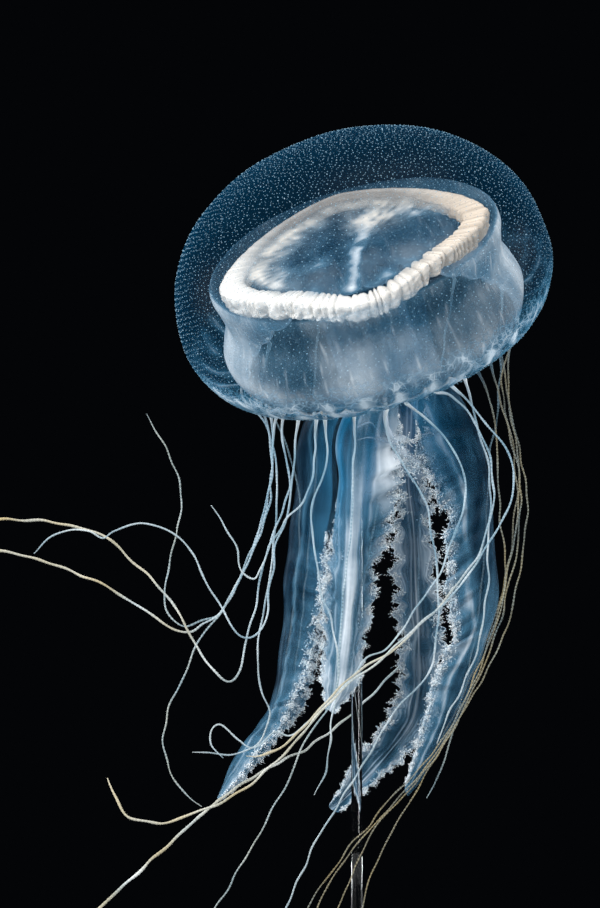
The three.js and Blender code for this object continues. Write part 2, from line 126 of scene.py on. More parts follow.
def facingOut(shape):
    # the signed volume under the faces is positive when they point out
    p = shape["points"] - shape["points"].mean(0)
    quads, triangles = shape["quads"], shape["triangles"]
    volume = 0.0
    for one, two, three in (quads[:, [0, 1, 2]].T, quads[:, [0, 2, 3]].T, triangles.T):
        volume += np.einsum("ij,ij->", p[one], np.cross(p[two], p[three]))
    if volume < 0:
        shape["quads"] = quads[:, ::-1]
        shape["triangles"] = triangles[:, ::-1]
    return shape


def gridFaces(index):
    # the faces of four between the neighbours of a grid of point numbers
    faces = np.stack([index[:-1, :-1], index[:-1, 1:], index[1:, 1:], index[1:, :-1]], -1)
    return faces.reshape(-1, 4)


def ringShape(rings, milk=0.0, tint=0.0):
    # a skin over closed rings, with a fan to the middle of each end ring
    rows, columns = rings.shape[:2]
    index = np.arange(rows * columns).reshape(rows, columns)
    index = np.concatenate([index, index[:, :1]], axis=1)
    first, last = rows * columns, rows * columns + 1
    head = np.stack([np.full(columns, first), index[0, 1:], index[0, :-1]], -1)
    tail = np.stack([np.full(columns, last), index[-1, :-1], index[-1, 1:]], -1)
    points = np.concatenate([rings.reshape(-1, 3), rings[:1].mean(1), rings[-1:].mean(1)])

    def withEnds(values):
        values = np.broadcast_to(values, (rows, columns))
        return np.concatenate([values.ravel(), [values[0].mean(), values[-1].mean()]])

    fans = np.concatenate([head, tail])
    return facingOut(makeShape(points, gridFaces(index), fans, withEnds(milk), withEnds(tint)))


def tubeShape(path, radius, sides, milk, tint):
    # place = path + radius (side cos a + across sin a): both are square to the path, and side is
    # what is left of the direction from front to back
    along = unit(np.gradient(path, axis=0))
    side = unit(np.array([0.0, 1.0, 0.0]) - along * along[:, 1:2])
    across = np.cross(along, side)
    turn = np.linspace(0, 2 * np.pi, sides, endpoint=False)[None, :, None]
    spokes = side[:, None] * np.cos(turn) + across[:, None] * np.sin(turn)
    rings = path[:, None] + radius[:, None, None] * spokes
    return ringShape(rings, np.clip(milk, 0, 1)[:, None], np.clip(tint, 0, 1)[:, None])


def sheetShape(grid, thickness, milk=0.0, tint=0.0):
    # a closed plate: the grid moved half its thickness each way along its normal, with a rim
    rows, columns = grid.shape[:2]
    normal = unit(np.cross(np.gradient(grid, axis=0), np.gradient(grid, axis=1)))
    half = normal * np.broadcast_to(thickness, (rows, columns))[..., None] / 2
    index = np.arange(rows * columns).reshape(rows, columns)
    front = gridFaces(index)
    back = front[:, ::-1] + rows * columns
    edge = np.concatenate([index[0, :-1], index[:-1, -1], index[-1, :0:-1], index[:0:-1, 0]])
    onward = np.roll(edge, -1)
    rim = np.stack([onward, edge, edge + rows * columns, onward + rows * columns], -1)
    points = np.concatenate([(grid + half).reshape(-1, 3), (grid - half).reshape(-1, 3)])
    milk = np.tile(np.broadcast_to(milk, (rows, columns)).ravel(), 2)
    tint = np.tile(np.broadcast_to(tint, (rows, columns)).ravel(), 2)
    return facingOut(makeShape(points, np.concatenate([front, back, rim]), None, milk, tint))


def grainTemplate():
    # the six corners and eight faces of an octahedron
    corners = np.array([(1, 0, 0), (0, 1, 0), (-1, 0, 0), (0, -1, 0), (0, 0, 1), (0, 0, -1)], float)
    faces = [(i, (i + 1) % 4, 4) for i in range(4)] + [((i + 1) % 4, i, 5) for i in range(4)]
    return corners, np.array(faces)


def beadTemplate():
    # the twelve corners and twenty faces of an icosahedron
    golden = (1 + math.sqrt(5)) / 2
    corners = []
    for a in (-1, 1):
        for b in (-golden, golden):
            corners += [(0, a, b), (a, b, 0), (b, 0, a)]
    corners = unit(np.array(corners, float))
    gaps = np.linalg.norm(corners[:, None] - corners[None], axis=-1)
    near = (gaps > 0.1) & (gaps < 1.2)  # corners that share an edge are 1.05 apart
    faces = []
    for i in range(len(corners)):
        for j in range(i + 1, len(corners)):
            for k in range(j + 1, len(corners)):
                if near[i, j] and near[j, k] and near[i, k]:
                    a, b, c = corners[i], corners[j], corners[k]
                    faces.append((i, j, k) if np.dot(a, np.cross(b, c)) > 0 else (i, k, j))
    return corners, np.array(faces)


def beadShape(centres, radii, template, normals=None, height=1.0, milk=0.0, tint=0.0):
    # one small bead at each centre; height squashes or stretches it along its normal
    corners, faces = template
    count = len(centres)
    if normals is None:
        normals = unit(dice.normal(size=(count, 3)))
    aside = unit(np.cross(normals, unit(dice.normal(size=(count, 3)))))
    across = np.cross(normals, aside)
    turned = (corners[None, :, :1] * aside[:, None] + corners[None, :, 1:2] * across[:, None]
              + corners[None, :, 2:] * normals[:, None] * height)
    points = centres[:, None] + turned * np.asarray(radii)[:, None, None]
    triangles = faces[None] + (np.arange(count) * len(corners))[:, None, None]
    spread = np.ones(len(corners))
    return makeShape(
        points, None, triangles.reshape(-1, 3),
        np.outer(np.broadcast_to(milk, count), spread), np.outer(np.broadcast_to(tint, count), spread),
    )


def joined(shapes):
    # several shapes as one, with the faces' point numbers moved on to match
    starts = np.cumsum([0] + [len(s["points"]) for s in shapes[:-1]])
    whole = {key: np.concatenate([s[key] for s in shapes]) for key in ("points", "milk", "tint")}
    for key in ("quads", "triangles"):
        whole[key] = np.concatenate([s[key] + start for s, start in zip(shapes, starts)])
    return whole


def makePiece(name, shape, materials, nodes=(), slots=None):
    # slots gives each face's material where there is more than one
    quads, triangles = shape["quads"], shape["triangles"]
    corners = np.concatenate([quads.ravel(), triangles.ravel()])
    starts = np.concatenate([np.arange(len(quads)) * 4, quads.size + np.arange(len(triangles)) * 3])
    mesh = bpy.data.meshes.new(name)
    mesh.vertices.add(len(shape["points"]))
    mesh.vertices.foreach_set("co", (shape["points"] * mm).astype(np.float32).ravel())
    mesh.loops.add(len(corners))
    mesh.loops.foreach_set("vertex_index", corners.astype(np.int32))
    mesh.polygons.add(len(starts))
    mesh.polygons.foreach_set("loop_start", starts.astype(np.int32))
    mesh.polygons.foreach_set("use_smooth", np.ones(len(starts), bool))
    for value in ("milk", "tint"):
        attribute = mesh.attributes.new(value, "FLOAT", "POINT")
        attribute.data.foreach_set("value", shape[value].astype(np.float32))
    for material in materials:
        mesh.materials.append(material)
    if slots is not None:
        mesh.polygons.foreach_set("material_index", slots.astype(np.int32))
    mesh.update(calc_edges=True)
    piece = bpy.data.objects.new(name, mesh)
    scene.collection.objects.link(piece)
    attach(piece, "root")
    if nodes:
        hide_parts(*nodes)
    print(f"{name}: {len(quads) * 2 + len(triangles)} triangles")
    return piece


def toLinear(code, alpha=1.0):
    # sRGB hex to linear light
    parts = [int(code[i:i + 2], 16) / 255 for i in (1, 3, 5)]
    return (*[c / 12.92 if c <= 0.04045 else ((c + 0.055) / 1.055) ** 2.4 for c in parts], alpha)


def fillSockets(tree, node, links):
    # each socket takes another node's socket, a node, which gives its first one, or a plain value
    for key, value in links.items():
        if isinstance(value, bpy.types.Node):
            value = value.outputs[0]
        if isinstance(value, bpy.types.NodeSocket):
            tree.links.new(value, node.inputs[key])
        else:
            node.inputs[key].default_value = value


def addNode(tree, kind, settings=None, links=None):
    node = tree.nodes.new(kind)
    for key, value in (settings or {}).items():
        setattr(node, key, value)
    fillSockets(tree, node, links or {})
    return node


def startMaterial(name, finish):
    # a Principled shader with the finish's plain values on its own sockets
    material = bpy.data.materials.new(name)
    material.use_nodes = True
    tree = material.node_tree
    tree.nodes.clear()
    shader = addNode(tree, "ShaderNodeBsdfPrincipled", links=finish)
    addNode(tree, "ShaderNodeOutputMaterial", links={"Surface": shader})
    return material, tree, shader


# what every tissue shares: where on its scale from clear to milky the middle colour stands, and how
# deep its grain is against the grain's width. The canal net is warped by noise: how far it is moved
# and how long the noise is, both against the width of a mesh
tissueValues = {"midAt": 0.36, "grainDepth": 0.3, "netMove": 1.4, "netWarp": 1.8}


def tissueMaterial(name, look):
    # wet tissue: clear where it is thin and pale where it is milky, with soft clouds and a fine
    # grain. "milk" and "tint" are the mesh's own values, and sizes are in millimetres. The opacity
    # is thin + (solid - thin) milk + edge facing^edgePower (milk + edgeBase), where facing is 1 at
    # the outline; an edge below 0 makes the outline soft.
    material, tree, shader = startMaterial(name, look["finish"])
    coordinates = addNode(tree, "ShaderNodeTexCoord").outputs["Object"]
    milk = addNode(tree, "ShaderNodeAttribute", {"attribute_name": "milk"}).outputs["Fac"]
    tint = addNode(tree, "ShaderNodeAttribute", {"attribute_name": "tint"}).outputs["Fac"]
    cloud = addNode(tree, "ShaderNodeTexNoise", links={
        "Vector": coordinates, "Scale": 1 / (look["cloudMm"] * mm), "Detail": 4.0, "Roughness": 0.6,
    })
    grain = addNode(tree, "ShaderNodeTexNoise", links={
        "Vector": coordinates, "Scale": 1 / (look["grainMm"] * mm), "Detail": 2.0,
    })
    fromMean = addNode(tree, "ShaderNodeMath", {"operation": "SUBTRACT"}, {0: cloud, 1: 0.5})
    drift = addNode(tree, "ShaderNodeMath", {"operation": "MULTIPLY"}, {0: fromMean, 1: look["cloud"]})
    milky = addNode(tree, "ShaderNodeMath", {"operation": "ADD", "use_clamp": True}, {0: milk, 1: drift})
    if "netMm" in look:
        milky = addNet(tree, coordinates, milky, tint, look)
    colour = addNode(tree, "ShaderNodeValToRGB", links={"Fac": milky})
    stops = colour.color_ramp.elements
    stops.new(0.5)
    shades = ((0.0, look["clear"]), (tissueValues["midAt"], look["mid"]), (1.0, look["pale"]))
    for stop, (place, code) in zip(stops, shades):
        stop.position, stop.color = place, toLinear(code)
    if "tint" in look:
        colour = addNode(tree, "ShaderNodeMix", {"data_type": "RGBA"}, {
            0: tint, 6: colour, 7: toLinear(look["tint"]),
        }).outputs[2]
    facing = addNode(tree, "ShaderNodeLayerWeight", links={"Blend": 0.5}).outputs["Facing"]
    turned = addNode(tree, "ShaderNodeMath", {"operation": "POWER"}, {0: facing, 1: look["edgePower"]})
    edge = addNode(tree, "ShaderNodeMath", {"operation": "MULTIPLY"}, {0: turned, 1: look["edge"]})
    share = addNode(tree, "ShaderNodeMath", {"operation": "ADD"}, {0: milky, 1: look["edgeBase"]})
    edge = addNode(tree, "ShaderNodeMath", {"operation": "MULTIPLY"}, {0: edge, 1: share})
    solid = addNode(tree, "ShaderNodeMath", {"operation": "MULTIPLY"}, {
        0: milky, 1: look["solid"] - look["thin"],
    })
    body = addNode(tree, "ShaderNodeMath", {"operation": "ADD"}, {0: solid, 1: look["thin"]})
    alpha = addNode(tree, "ShaderNodeMath", {"operation": "ADD", "use_clamp": True}, {0: body, 1: edge})
    depth = look["grainMm"] * mm * tissueValues["grainDepth"]
    bump = addNode(tree, "ShaderNodeBump", links={
        "Height": grain, "Strength": look["bump"], "Distance": depth,
    })
    fillSockets(tree, shader, {"Base Color": colour, "Alpha": alpha, "Normal": bump})
    return material


def addNet(tree, coordinates, milky, tint, look):
    # fine branching canals, as the borders between cells of warped noise; "tint" says where
    warp = addNode(tree, "ShaderNodeTexNoise", links={
        "Vector": coordinates, "Scale": 1 / (look["netMm"] * mm * tissueValues["netWarp"]), "Detail": 1.0,
    }).outputs["Color"]
    moved = addNode(tree, "ShaderNodeVectorMath", {"operation": "MULTIPLY_ADD"}, {
        0: warp, 1: (look["netMm"] * mm * tissueValues["netMove"],) * 3, 2: coordinates,
    })
    border = addNode(tree, "ShaderNodeTexVoronoi", {"feature": "DISTANCE_TO_EDGE"}, {
        "Vector": moved, "Scale": 1 / (look["netMm"] * mm),
    })
    line = addNode(tree, "ShaderNodeMapRange", {"interpolation_type": "SMOOTHSTEP"}, {
        "Value": border, "From Min": 0.0, "From Max": look["netLine"], "To Min": look["net"], "To Max": 0.0,
    })
    share = addNode(tree, "ShaderNodeMath", {"operation": "MULTIPLY"}, {0: line, 1: tint})
    return addNode(tree, "ShaderNodeMath", {"operation": "ADD", "use_clamp": True}, {0: milky, 1: share})


wet = {"Roughness": 0.3, "IOR": 1.36, "Specular IOR Level": 0.3}
# mesogloea: clear sea-blue jelly, smooth and wet, with pale canals near the margin
gel = tissueMaterial("clear mesogloea", {
    "finish": {**wet, "Specular IOR Level": 0.05},
    "clear": "#02304a", "mid": "#3d7594", "pale": "#bdd0de",
    "thin": 0.12, "solid": 0.80, "edge": 0.55, "edgePower": 3.0, "edgeBase": 1.0,
    "cloudMm": 14.0, "cloud": 0.10, "grainMm": 1.1, "bump": 0.2,
    "netMm": 3.4, "netLine": 0.14, "net": 0.50,
})
# the muscle sheet under the bell: a thin milky film with bands of fibres
muscle = tissueMaterial("muscle sheet", {
    "finish": {**wet, "Roughness": 0.4},
    "clear": "#063a59", "mid": "#4f7b97", "pale": "#e9eff3", "tint": "#c9c0b2",
    "thin": 0.06, "solid": 0.95, "edge": 0.68, "edgePower": 2.2, "edgeBase": 0.0,
    "cloudMm": 5.0, "cloud": 0.16, "grainMm": 0.9, "bump": 0.3,
})
# warts: small knobs of denser jelly packed with stinging cells, paler than the jelly they stand on
wart = tissueMaterial("wart tissue", {
    "finish": {**wet, "Roughness": 0.6, "Specular IOR Level": 0.1},
    "clear": "#5f9cbd", "mid": "#9cc6dc", "pale": "#e6f1f6", "tint": "#e6d3b8",
    "thin": 0.05, "solid": 0.90, "edge": 0.0, "edgePower": 2.0, "edgeBase": 0.0,
    "cloudMm": 20.0, "cloud": 0.2, "grainMm": 0.4, "bump": 0.2,
})
# gonads: folded bands full of ripe cells, dense and satiny
gonadFold = tissueMaterial("gonad folds", {
    "finish": {"Roughness": 0.55, "IOR": 1.4, "Specular IOR Level": 0.3},
    "clear": "#5f7484", "mid": "#a3adb3", "pale": "#fffdf8", "tint": "#d9c2a6",
    "thin": 0.45, "solid": 1.10, "edge": -0.75, "edgePower": 2.8, "edgeBase": 0.0,
    "cloudMm": 7.0, "cloud": 0.22, "grainMm": 1.5, "bump": 0.5,
})
# the stalk's wall and the mouth's ridges: a film so clear that only its folds show
stalkVeil = tissueMaterial("stalk veil", {
    "finish": wet,
    "clear": "#063a59", "mid": "#2f7297", "pale": "#d3e0ec",
    "thin": 0.02, "solid": 0.80, "edge": -0.6, "edgePower": 1.6, "edgeBase": 0.2,
    "cloudMm": 6.0, "cloud": 0.25, "grainMm": 0.9, "bump": 0.3,
})
# oral arms: thin wet veils, deep blue where clear, milky towards the ribs and lips, and tinted a
# brighter sea blue near the mouth
armVeil = tissueMaterial("arm veil", {
    "finish": {**wet, "Roughness": 0.5, "Specular IOR Level": 0.2},
    "clear": "#04304a", "mid": "#457490", "pale": "#dfe8f0", "tint": "#0f78a8",
    "thin": 0.145, "solid": 0.94, "edge": 0.22, "edgePower": 2.2, "edgeBase": 0.8,
    "cloudMm": 6.0, "cloud": 0.26, "grainMm": 0.9, "bump": 0.3,
})
# the lips' fingers: grains of white tissue
lipGrain = tissueMaterial("lip grains", {
    "finish": {**wet, "Roughness": 0.45},
    "clear": "#4d82a6", "mid": "#a3c6da", "pale": "#fbfdff", "tint": "#efd9b4",
    "thin": 0.26, "solid": 1.0, "edge": 0.0, "edgePower": 1.0, "edgeBase": 0.0,
    "cloudMm": 5.0, "cloud": 0.5, "grainMm": 0.5, "bump": 0.2,
})
# tentacles: tough threads ringed with stinging cells, bluish white to straw yellow
threadSkin = tissueMaterial("tentacle thread", {
    "finish": {**wet, "Roughness": 0.4},
    "clear": "#2f5a72", "mid": "#7fa0b2", "pale": "#eaf1f5", "tint": "#b5a06a",
    "thin": 0.35, "solid": 1.0, "edge": 0.1, "edgePower": 2.0, "edgeBase": 1.0,
    "cloudMm": 12.0, "cloud": 0.35, "grainMm": 0.5, "bump": 0.3,
})
print("tissues ready")


# the bell, in its own frame: its apex is up, its widest circle is at height 0, and the lean turns
# it into place
bellShape = {
    "radius": 76.3, "crown": 58.5,  # widest circle, and the apex above it
    "marginRadius": 57.0, "marginDrop": 26.7,
    "fullness": 2.2,  # 2 is an ellipse, more is squarer
    "lappets": 32, "lappetDepth": 2.0,
    "lappetFrom": 4.5, "lappetFull": 0.5,  # above the margin, where they begin and are at full depth
    "lappetRound": 0.7,  # less is broader lappets with narrower notches
    "leanForward": 25.0, "leanSide": 17.0,  # degrees
    "centre": (1.0, -7.0, 285.0),
    # radius and height of the hollow, from the margin to the middle of the roof
    "hollow": [
        (55.2, -26.4), (59.5, -22), (61.8, -14), (60, -6.5), (57.6, 1), (58.8, 9), (60, 14.6),
        (57.8, 18), (46, 18.9), (22, 19.1), (6, 19.1),
    ],
    "columns": 480, "domeRows": 54, "skirtRows": 30, "hollowRows": 96,
    "swell": 0.35, "swellLength": 24, "swellSeed": 3,  # how far the gel's surface wanders
    "innerSwell": 0.25, "swellFades": (20, 50),  # in the hollow, fading towards the roof's middle
}


def leanMatrix(shape):
    # a turn about X forward, then a turn about Y sideways
    forward = math.radians(shape["leanForward"])
    side = -math.radians(shape["leanSide"])
    aboutX = np.array([
        [1, 0, 0],
        [0, math.cos(forward), -math.sin(forward)],
        [0, math.sin(forward), math.cos(forward)],
    ])
    aboutY = np.array([
        [math.cos(side), 0, math.sin(side)],
        [0, 1, 0],
        [-math.sin(side), 0, math.cos(side)],
    ])
    return aboutY @ aboutX


lean = leanMatrix(bellShape)


def bellPlace(angle, radius, height):
    # x = r cos(angle), y = r sin(angle), z = height, leaned and carried to the bell's centre
    local = stacked(radius * np.cos(angle), radius * np.sin(angle), height)
    return local @ lean.T + np.array(bellShape["centre"])


def bellSwell(angle, radius, height):
    # slow noise over the gel, from about -1 to 1
    local = stacked(radius * np.cos(angle), radius * np.sin(angle), height)
    return wander(local, bellShape["swellLength"], bellShape["swellSeed"])


def bellOutline(shape):
    # dome: r = R sin(a)^(2/f), z = H cos(a)^(2/f); skirt: r = m + (R - m) cos(a), z = -d sin(a);
    # then the hollow's smooth line. The third number runs 0 to 1 down the skirt.
    power = 2 / shape["fullness"]
    a = np.linspace(0, np.pi / 2, shape["domeRows"] + 1)[1:]
    dome = np.stack([shape["radius"] * np.sin(a)**power, shape["crown"] * np.cos(a)**power, 0 * a], -1)
    dome[-1, 1] = 0
    a = np.linspace(0, np.pi / 2, shape["skirtRows"] + 1)[1:]
    curl = shape["radius"] - shape["marginRadius"]
    skirt = np.stack([shape["marginRadius"] + curl * np.cos(a), -shape["marginDrop"] * np.sin(a),
                      a / (np.pi / 2)], -1)
    t = np.linspace(0, 1, shape["hollowRows"])
    line = alongLine(shape["hollow"], t)
    inner = np.concatenate([line, 0 * t[:, None]], axis=1)
    return np.concatenate([dome, skirt, inner]), len(dome) + len(skirt)


# the milky roof of the stomach, in the bell's frame: the line of the partition with its half width
# and milkiness, and soft clouds, each with its middle, half sizes, turn in degrees, milkiness and
# tint
stomachRoof = {
    "haze": 0.12, "hazePuff": 0.6,  # milkiness of the whole roof, and how uneven it is
    "puffs": [(0.6, 13, 15), (0.4, 6, 16), (0.3, 3, 17)],
    "partition": [(-7, -48), (-3, -30), (0, -14), (3, 0), (7, 12), (10, 26)],
    "halfWidth": [2.4, 2.4, 2.4, 3.0, 4.2, 6.0], "widthPuff": 0.35,
    "strength": [0.50, 0.54, 0.56, 0.54, 0.42, 0.22],
    "samples": 60,
    "clouds": [
        {"middle": (11, 19), "half": (10, 11), "turn": 20, "milk": 0.27, "tint": 0.6},
        {"middle": (-26, 22), "half": (10, 20), "turn": -42, "milk": 0.34, "tint": 0.15},
        {"middle": (26, 16), "half": (12, 6), "turn": -38, "milk": 0.32, "tint": 0.0},
        {"middle": (-37, -8), "half": (8, 18), "turn": 24, "milk": 0.42, "tint": 0.1},
        {"middle": (-18, -8), "half": (14, 6), "turn": 10, "milk": 0.16, "tint": 0.0},
        {"middle": (-14, -38), "half": (16, 5), "turn": -30, "milk": 0.26, "tint": 0.0},
        {"middle": (14, -36), "half": (22, 5), "turn": 38, "milk": 0.26, "tint": 0.0},
    ],
    "cloudPuff": 0.55,
    # the fringe of haze that the back and left of the gonad ring show: its milkiness and tint, the
    # ring's inner edge, how deep it reaches in from there, and where it stops on the right
    "fringe": 0.17, "fringeTint": 0.5, "fringePuff": 0.4, "fringeFrom": 43, "fringeDeep": 10.0,
    "behindSlope": 0.45, "behindFade": (-0.5, 0.5),
    "squareness": 1.5, "edge": (41, 48),  # the whole roof fades out under the ring
    "milkMost": 0.85, "tintMost": 0.8,
}


def stomachClouds(x, y, roof):
    # milkiness = haze + partition exp(-(distance / width)^2) + the clouds exp(-(u^2 + v^2)) + the
    # fringe, each made uneven by the puffs. Gives the milkiness and the tint
    puff = layered(stacked(x, y), roof["puffs"])
    milk = roof["haze"] * (1 + roof["hazePuff"] * puff)
    tint = 0 * x
    t = np.linspace(0, 1, roof["samples"])
    line = alongLine(roof["partition"], t)
    away = np.hypot(x[..., None] - line[:, 0], y[..., None] - line[:, 1])
    nearest = away.argmin(-1)
    width = alongLine(roof["halfWidth"], t)[nearest] * (1 + roof["widthPuff"] * puff)
    milk = milk + alongLine(roof["strength"], t)[nearest] * hill(away.min(-1), 0, width)
    for cloud in roof["clouds"]:
        turn = math.radians(cloud["turn"])
        dx, dy = x - cloud["middle"][0], y - cloud["middle"][1]
        u = (dx * math.cos(turn) + dy * math.sin(turn)) / cloud["half"][0]
        v = (dy * math.cos(turn) - dx * math.sin(turn)) / cloud["half"][1]
        share = np.exp(-(u**2 + v**2)) * (1 + roof["cloudPuff"] * puff)
        milk = milk + cloud["milk"] * share
        tint = tint + cloud["tint"] * share
    power = roof["squareness"]
    reach = (np.abs(x)**power + np.abs(y)**power)**(1 / power)
    behind = smoothStep(*roof["behindFade"], (y - roof["behindSlope"] * x) / np.maximum(reach, 1))
    fringe = hill(np.clip(roof["fringeFrom"] - reach, 0, None), 0, roof["fringeDeep"])
    fringe = fringe * behind * (1 + roof["fringePuff"] * puff)
    inside = 1 - smoothStep(*roof["edge"], reach)
    milk = np.clip(milk + roof["fringe"] * fringe, 0, roof["milkMost"])
    tint = np.clip(tint + roof["fringeTint"] * fringe, 0, roof["tintMost"])
    return milk * inside, tint * inside


# the muscle sheet of the wall. Each noise runs round the wall and down it, stretched downwards
wallValues = {
    "round": 60,  # the radius at which the noise is measured
    "fibres": {"stretch": 4, "length": 3.6, "seed": 8}, "fibreMilk": 0.025,
    "broad": {"stretch": 1.6, "length": 20.0, "seed": 9}, "broadMilk": 0.07,
    "threads": {"stretch": 7, "length": 1.7, "seed": 10}, "threadMilk": 0.22,
    "threadsAbove": 0.7,  # only the noise's highest parts make threads
    "milk": 0.43, "least": 0.02, "most": 0.9,
    # a painted highlight along the bell's outline, a pale band where the wall bulges out: its height
    # and half width, its milkiness, and what it has more of on the left
    "outlineHighlight": (-16.5, 5), "outlineHighlightMilk": 0.20, "outlineHighlightLeft": 0.16, "left": (218, 34.3775),
    "outlineHighlightUneven": (0.85, 0.2),
    "clear": (8, 4.5), "ringShadowMilk": 0.10,  # painted shadow: the darker stretch of wall under the gonad ring
    # milkier and clearer patches: degrees round the bell, width in degrees, and strength
    "patches": [(258, 13, 0.16), (192, 15, 0.18), (352, 14, 0.20), (228, 13, -0.08), (90, 50, -0.10)],
    "patchFrom": (-22, -8),  # height above the margin where they fade in
}


def wallMilk(angle, height, values):
    # milkiness = the sheet's own + fibres, threads and broad bands of noise + the painted highlight
    # along the outline - the painted shadow under the gonad ring + the patches
    def noise(kind):
        one = values[kind]
        x, y = values["round"] * np.cos(angle), values["round"] * np.sin(angle)
        return wander(stacked(x, y, height / one["stretch"]), one["length"], one["seed"])

    broad = noise("broad")
    milk = values["milk"] + values["fibreMilk"] * noise("fibres") + values["broadMilk"] * broad
    milk = milk + values["threadMilk"] * np.clip(noise("threads") - values["threadsAbove"], 0, None)
    # painted highlight: a pale band along the outline where the wall bulges out, stronger on the left
    outlineHighlight = values["outlineHighlightMilk"] + values["outlineHighlightLeft"] * roundHill(angle, *values["left"])
    even, uneven = values["outlineHighlightUneven"]
    milk = milk + outlineHighlight * hill(height, *values["outlineHighlight"]) * (even + uneven * broad)
    # painted shadow of the gonad ring: the wall darker just under it
    milk = milk - values["ringShadowMilk"] * hill(height, *values["clear"])
    high = smoothStep(*values["patchFrom"], height)
    for middle, width, strength in values["patches"]:
        milk = milk + strength * roundHill(angle, middle, width) * high
    return np.clip(milk, values["least"], values["most"])


# how milky the skirt's skin is. "down" is 0 at the widest circle and 1 at the margin, and every
# pair of such numbers is where something begins and where it is full
skinValues = {
    "nearSide": (0.45, 0.2, (-0.2, 0.6)),  # least share, turn and fade: the near side is milkier
    "band": (0.10, 0.42), "bandWander": 0.05, "bandNoise": (14, 12),
    "bandMilk": 0.24, "blotchMilk": 0.40, "blotchNoise": (8, 4),
    "ribs": (0.16, 0.46), "ribSharp": 1.5, "ribWander": 0.08, "ribUneven": (0.3, 0.9), "ribMilk": 0.55,
    "edge": (0.955, 1.0), "edgeMilk": 0.30,
    "window": (0.36, 0.50), "windowClear": 0.60,  # the clear middle of each lappet
    "net": (0.07, 0.16), "netFades": (0.34, 0.46), "netFade": 0.75, "netFrom": 0.3,
    "roof": (16.5, 18.6),  # heights over which the wall turns into the roof
}


def skirtLook(angle, place, down, lobe, values):
    # milkiness = band (base + blotches) (1 - window) + ribs between the lappets + the edge. Gives
    # the milkiness and where the canal net shows
    least, turn, fade = values["nearSide"]
    nearSide = least + (1 - least) * smoothStep(*fade, -np.sin(angle + turn))
    low, high = values["band"]
    drift = values["bandWander"] * wander(place, *values["bandNoise"])
    band = smoothStep(low, high, down + drift) * nearSide
    blotch = np.clip(0.5 + wander(place, *values["blotchNoise"]), 0, 1)
    even, uneven = values["ribUneven"]
    ribs = (1 - lobe)**values["ribSharp"] * (even + uneven * blotch)
    ribs = ribs * smoothStep(*values["ribs"], down + values["ribWander"] * blotch) * nearSide
    edge = smoothStep(*values["edge"], down)
    window = lobe**2 * smoothStep(*values["window"], down) * (1 - edge)
    milk = band * (values["bandMilk"] + values["blotchMilk"] * blotch)
    milk = milk * (1 - values["windowClear"] * window)
    milk = milk + values["ribMilk"] * ribs + values["edgeMilk"] * edge
    net = smoothStep(*values["net"], down) * (nearSide - values["netFrom"])
    net = net * (1 - values["netFade"] * smoothStep(*values["netFades"], down))
    return milk, net


def makeBell(shape):
    # the outer skin down to the margin, then the wall and the roof of the hollow
    outline, outerRows = bellOutline(shape)
    angle = np.linspace(0, 2 * np.pi, shape["columns"], endpoint=False)[None, :]
    radius, height, down = (outline[:, k:k + 1] + 0 * angle for k in range(3))
    margin = -shape["marginDrop"]
    atMargin = smoothStep(margin + shape["lappetFrom"], margin + shape["lappetFull"], height)
    lobe = np.abs(np.sin(angle * shape["lappets"] / 2))**shape["lappetRound"]
    height = height + shape["lappetDepth"] * atMargin * (1 - lobe)
    outer = np.arange(len(outline))[:, None] < outerRows
    swell = np.where(outer, shape["swell"], shape["innerSwell"] * smoothStep(*shape["swellFades"], radius))
    radius = radius + swell * bellSwell(angle, radius, height)
    x, y = radius * np.cos(angle), radius * np.sin(angle)
    roof = smoothStep(*skinValues["roof"], height)
    roofMilk, roofTint = stomachClouds(x, y, stomachRoof)
    inner = wallMilk(angle, height, wallValues) * (1 - roof) + roofMilk * roof
    skirtMilk, net = skirtLook(angle, stacked(x, y, height), down, lobe, skinValues)
    milk, tint = np.where(outer, skirtMilk, inner), np.where(outer, net, roofTint * roof)
    skin = ringShape(bellPlace(angle, radius, height), milk, tint)
    row = np.repeat(np.arange(len(outline) - 1), shape["columns"])
    fan = np.ones(shape["columns"])  # the apex's fan is gel and the roof's is muscle
    faceSlot = np.concatenate([row >= outerRows - 1, 0 * fan, fan])
    makePiece("bellSkin", skin, [gel, muscle], ["bell"], faceSlot)


makeBell(bellShape)


# warts all over the outer skin
wartValues = {
    "spacing": 2.55, "scatter": 0.26,  # mm, and share of the spacing
    "packing": 0.866,  # of spacing^2, the area of one wart in a triangular pattern
    "apexRadius": 3,  # inside it the scatter round the apex grows no more
    "radius": (0.18, 0.29), "height": 0.8,
    "marginDensity": 1.7, "crowdFrom": (0.1, 0.7),  # times as many near the margin as on the dome
    "milk": 0.30, "milkSpread": 0.09, "least": 0.05,
    "skirtFainter": 0.10, "faintFrom": (0.05, 0.5),
}


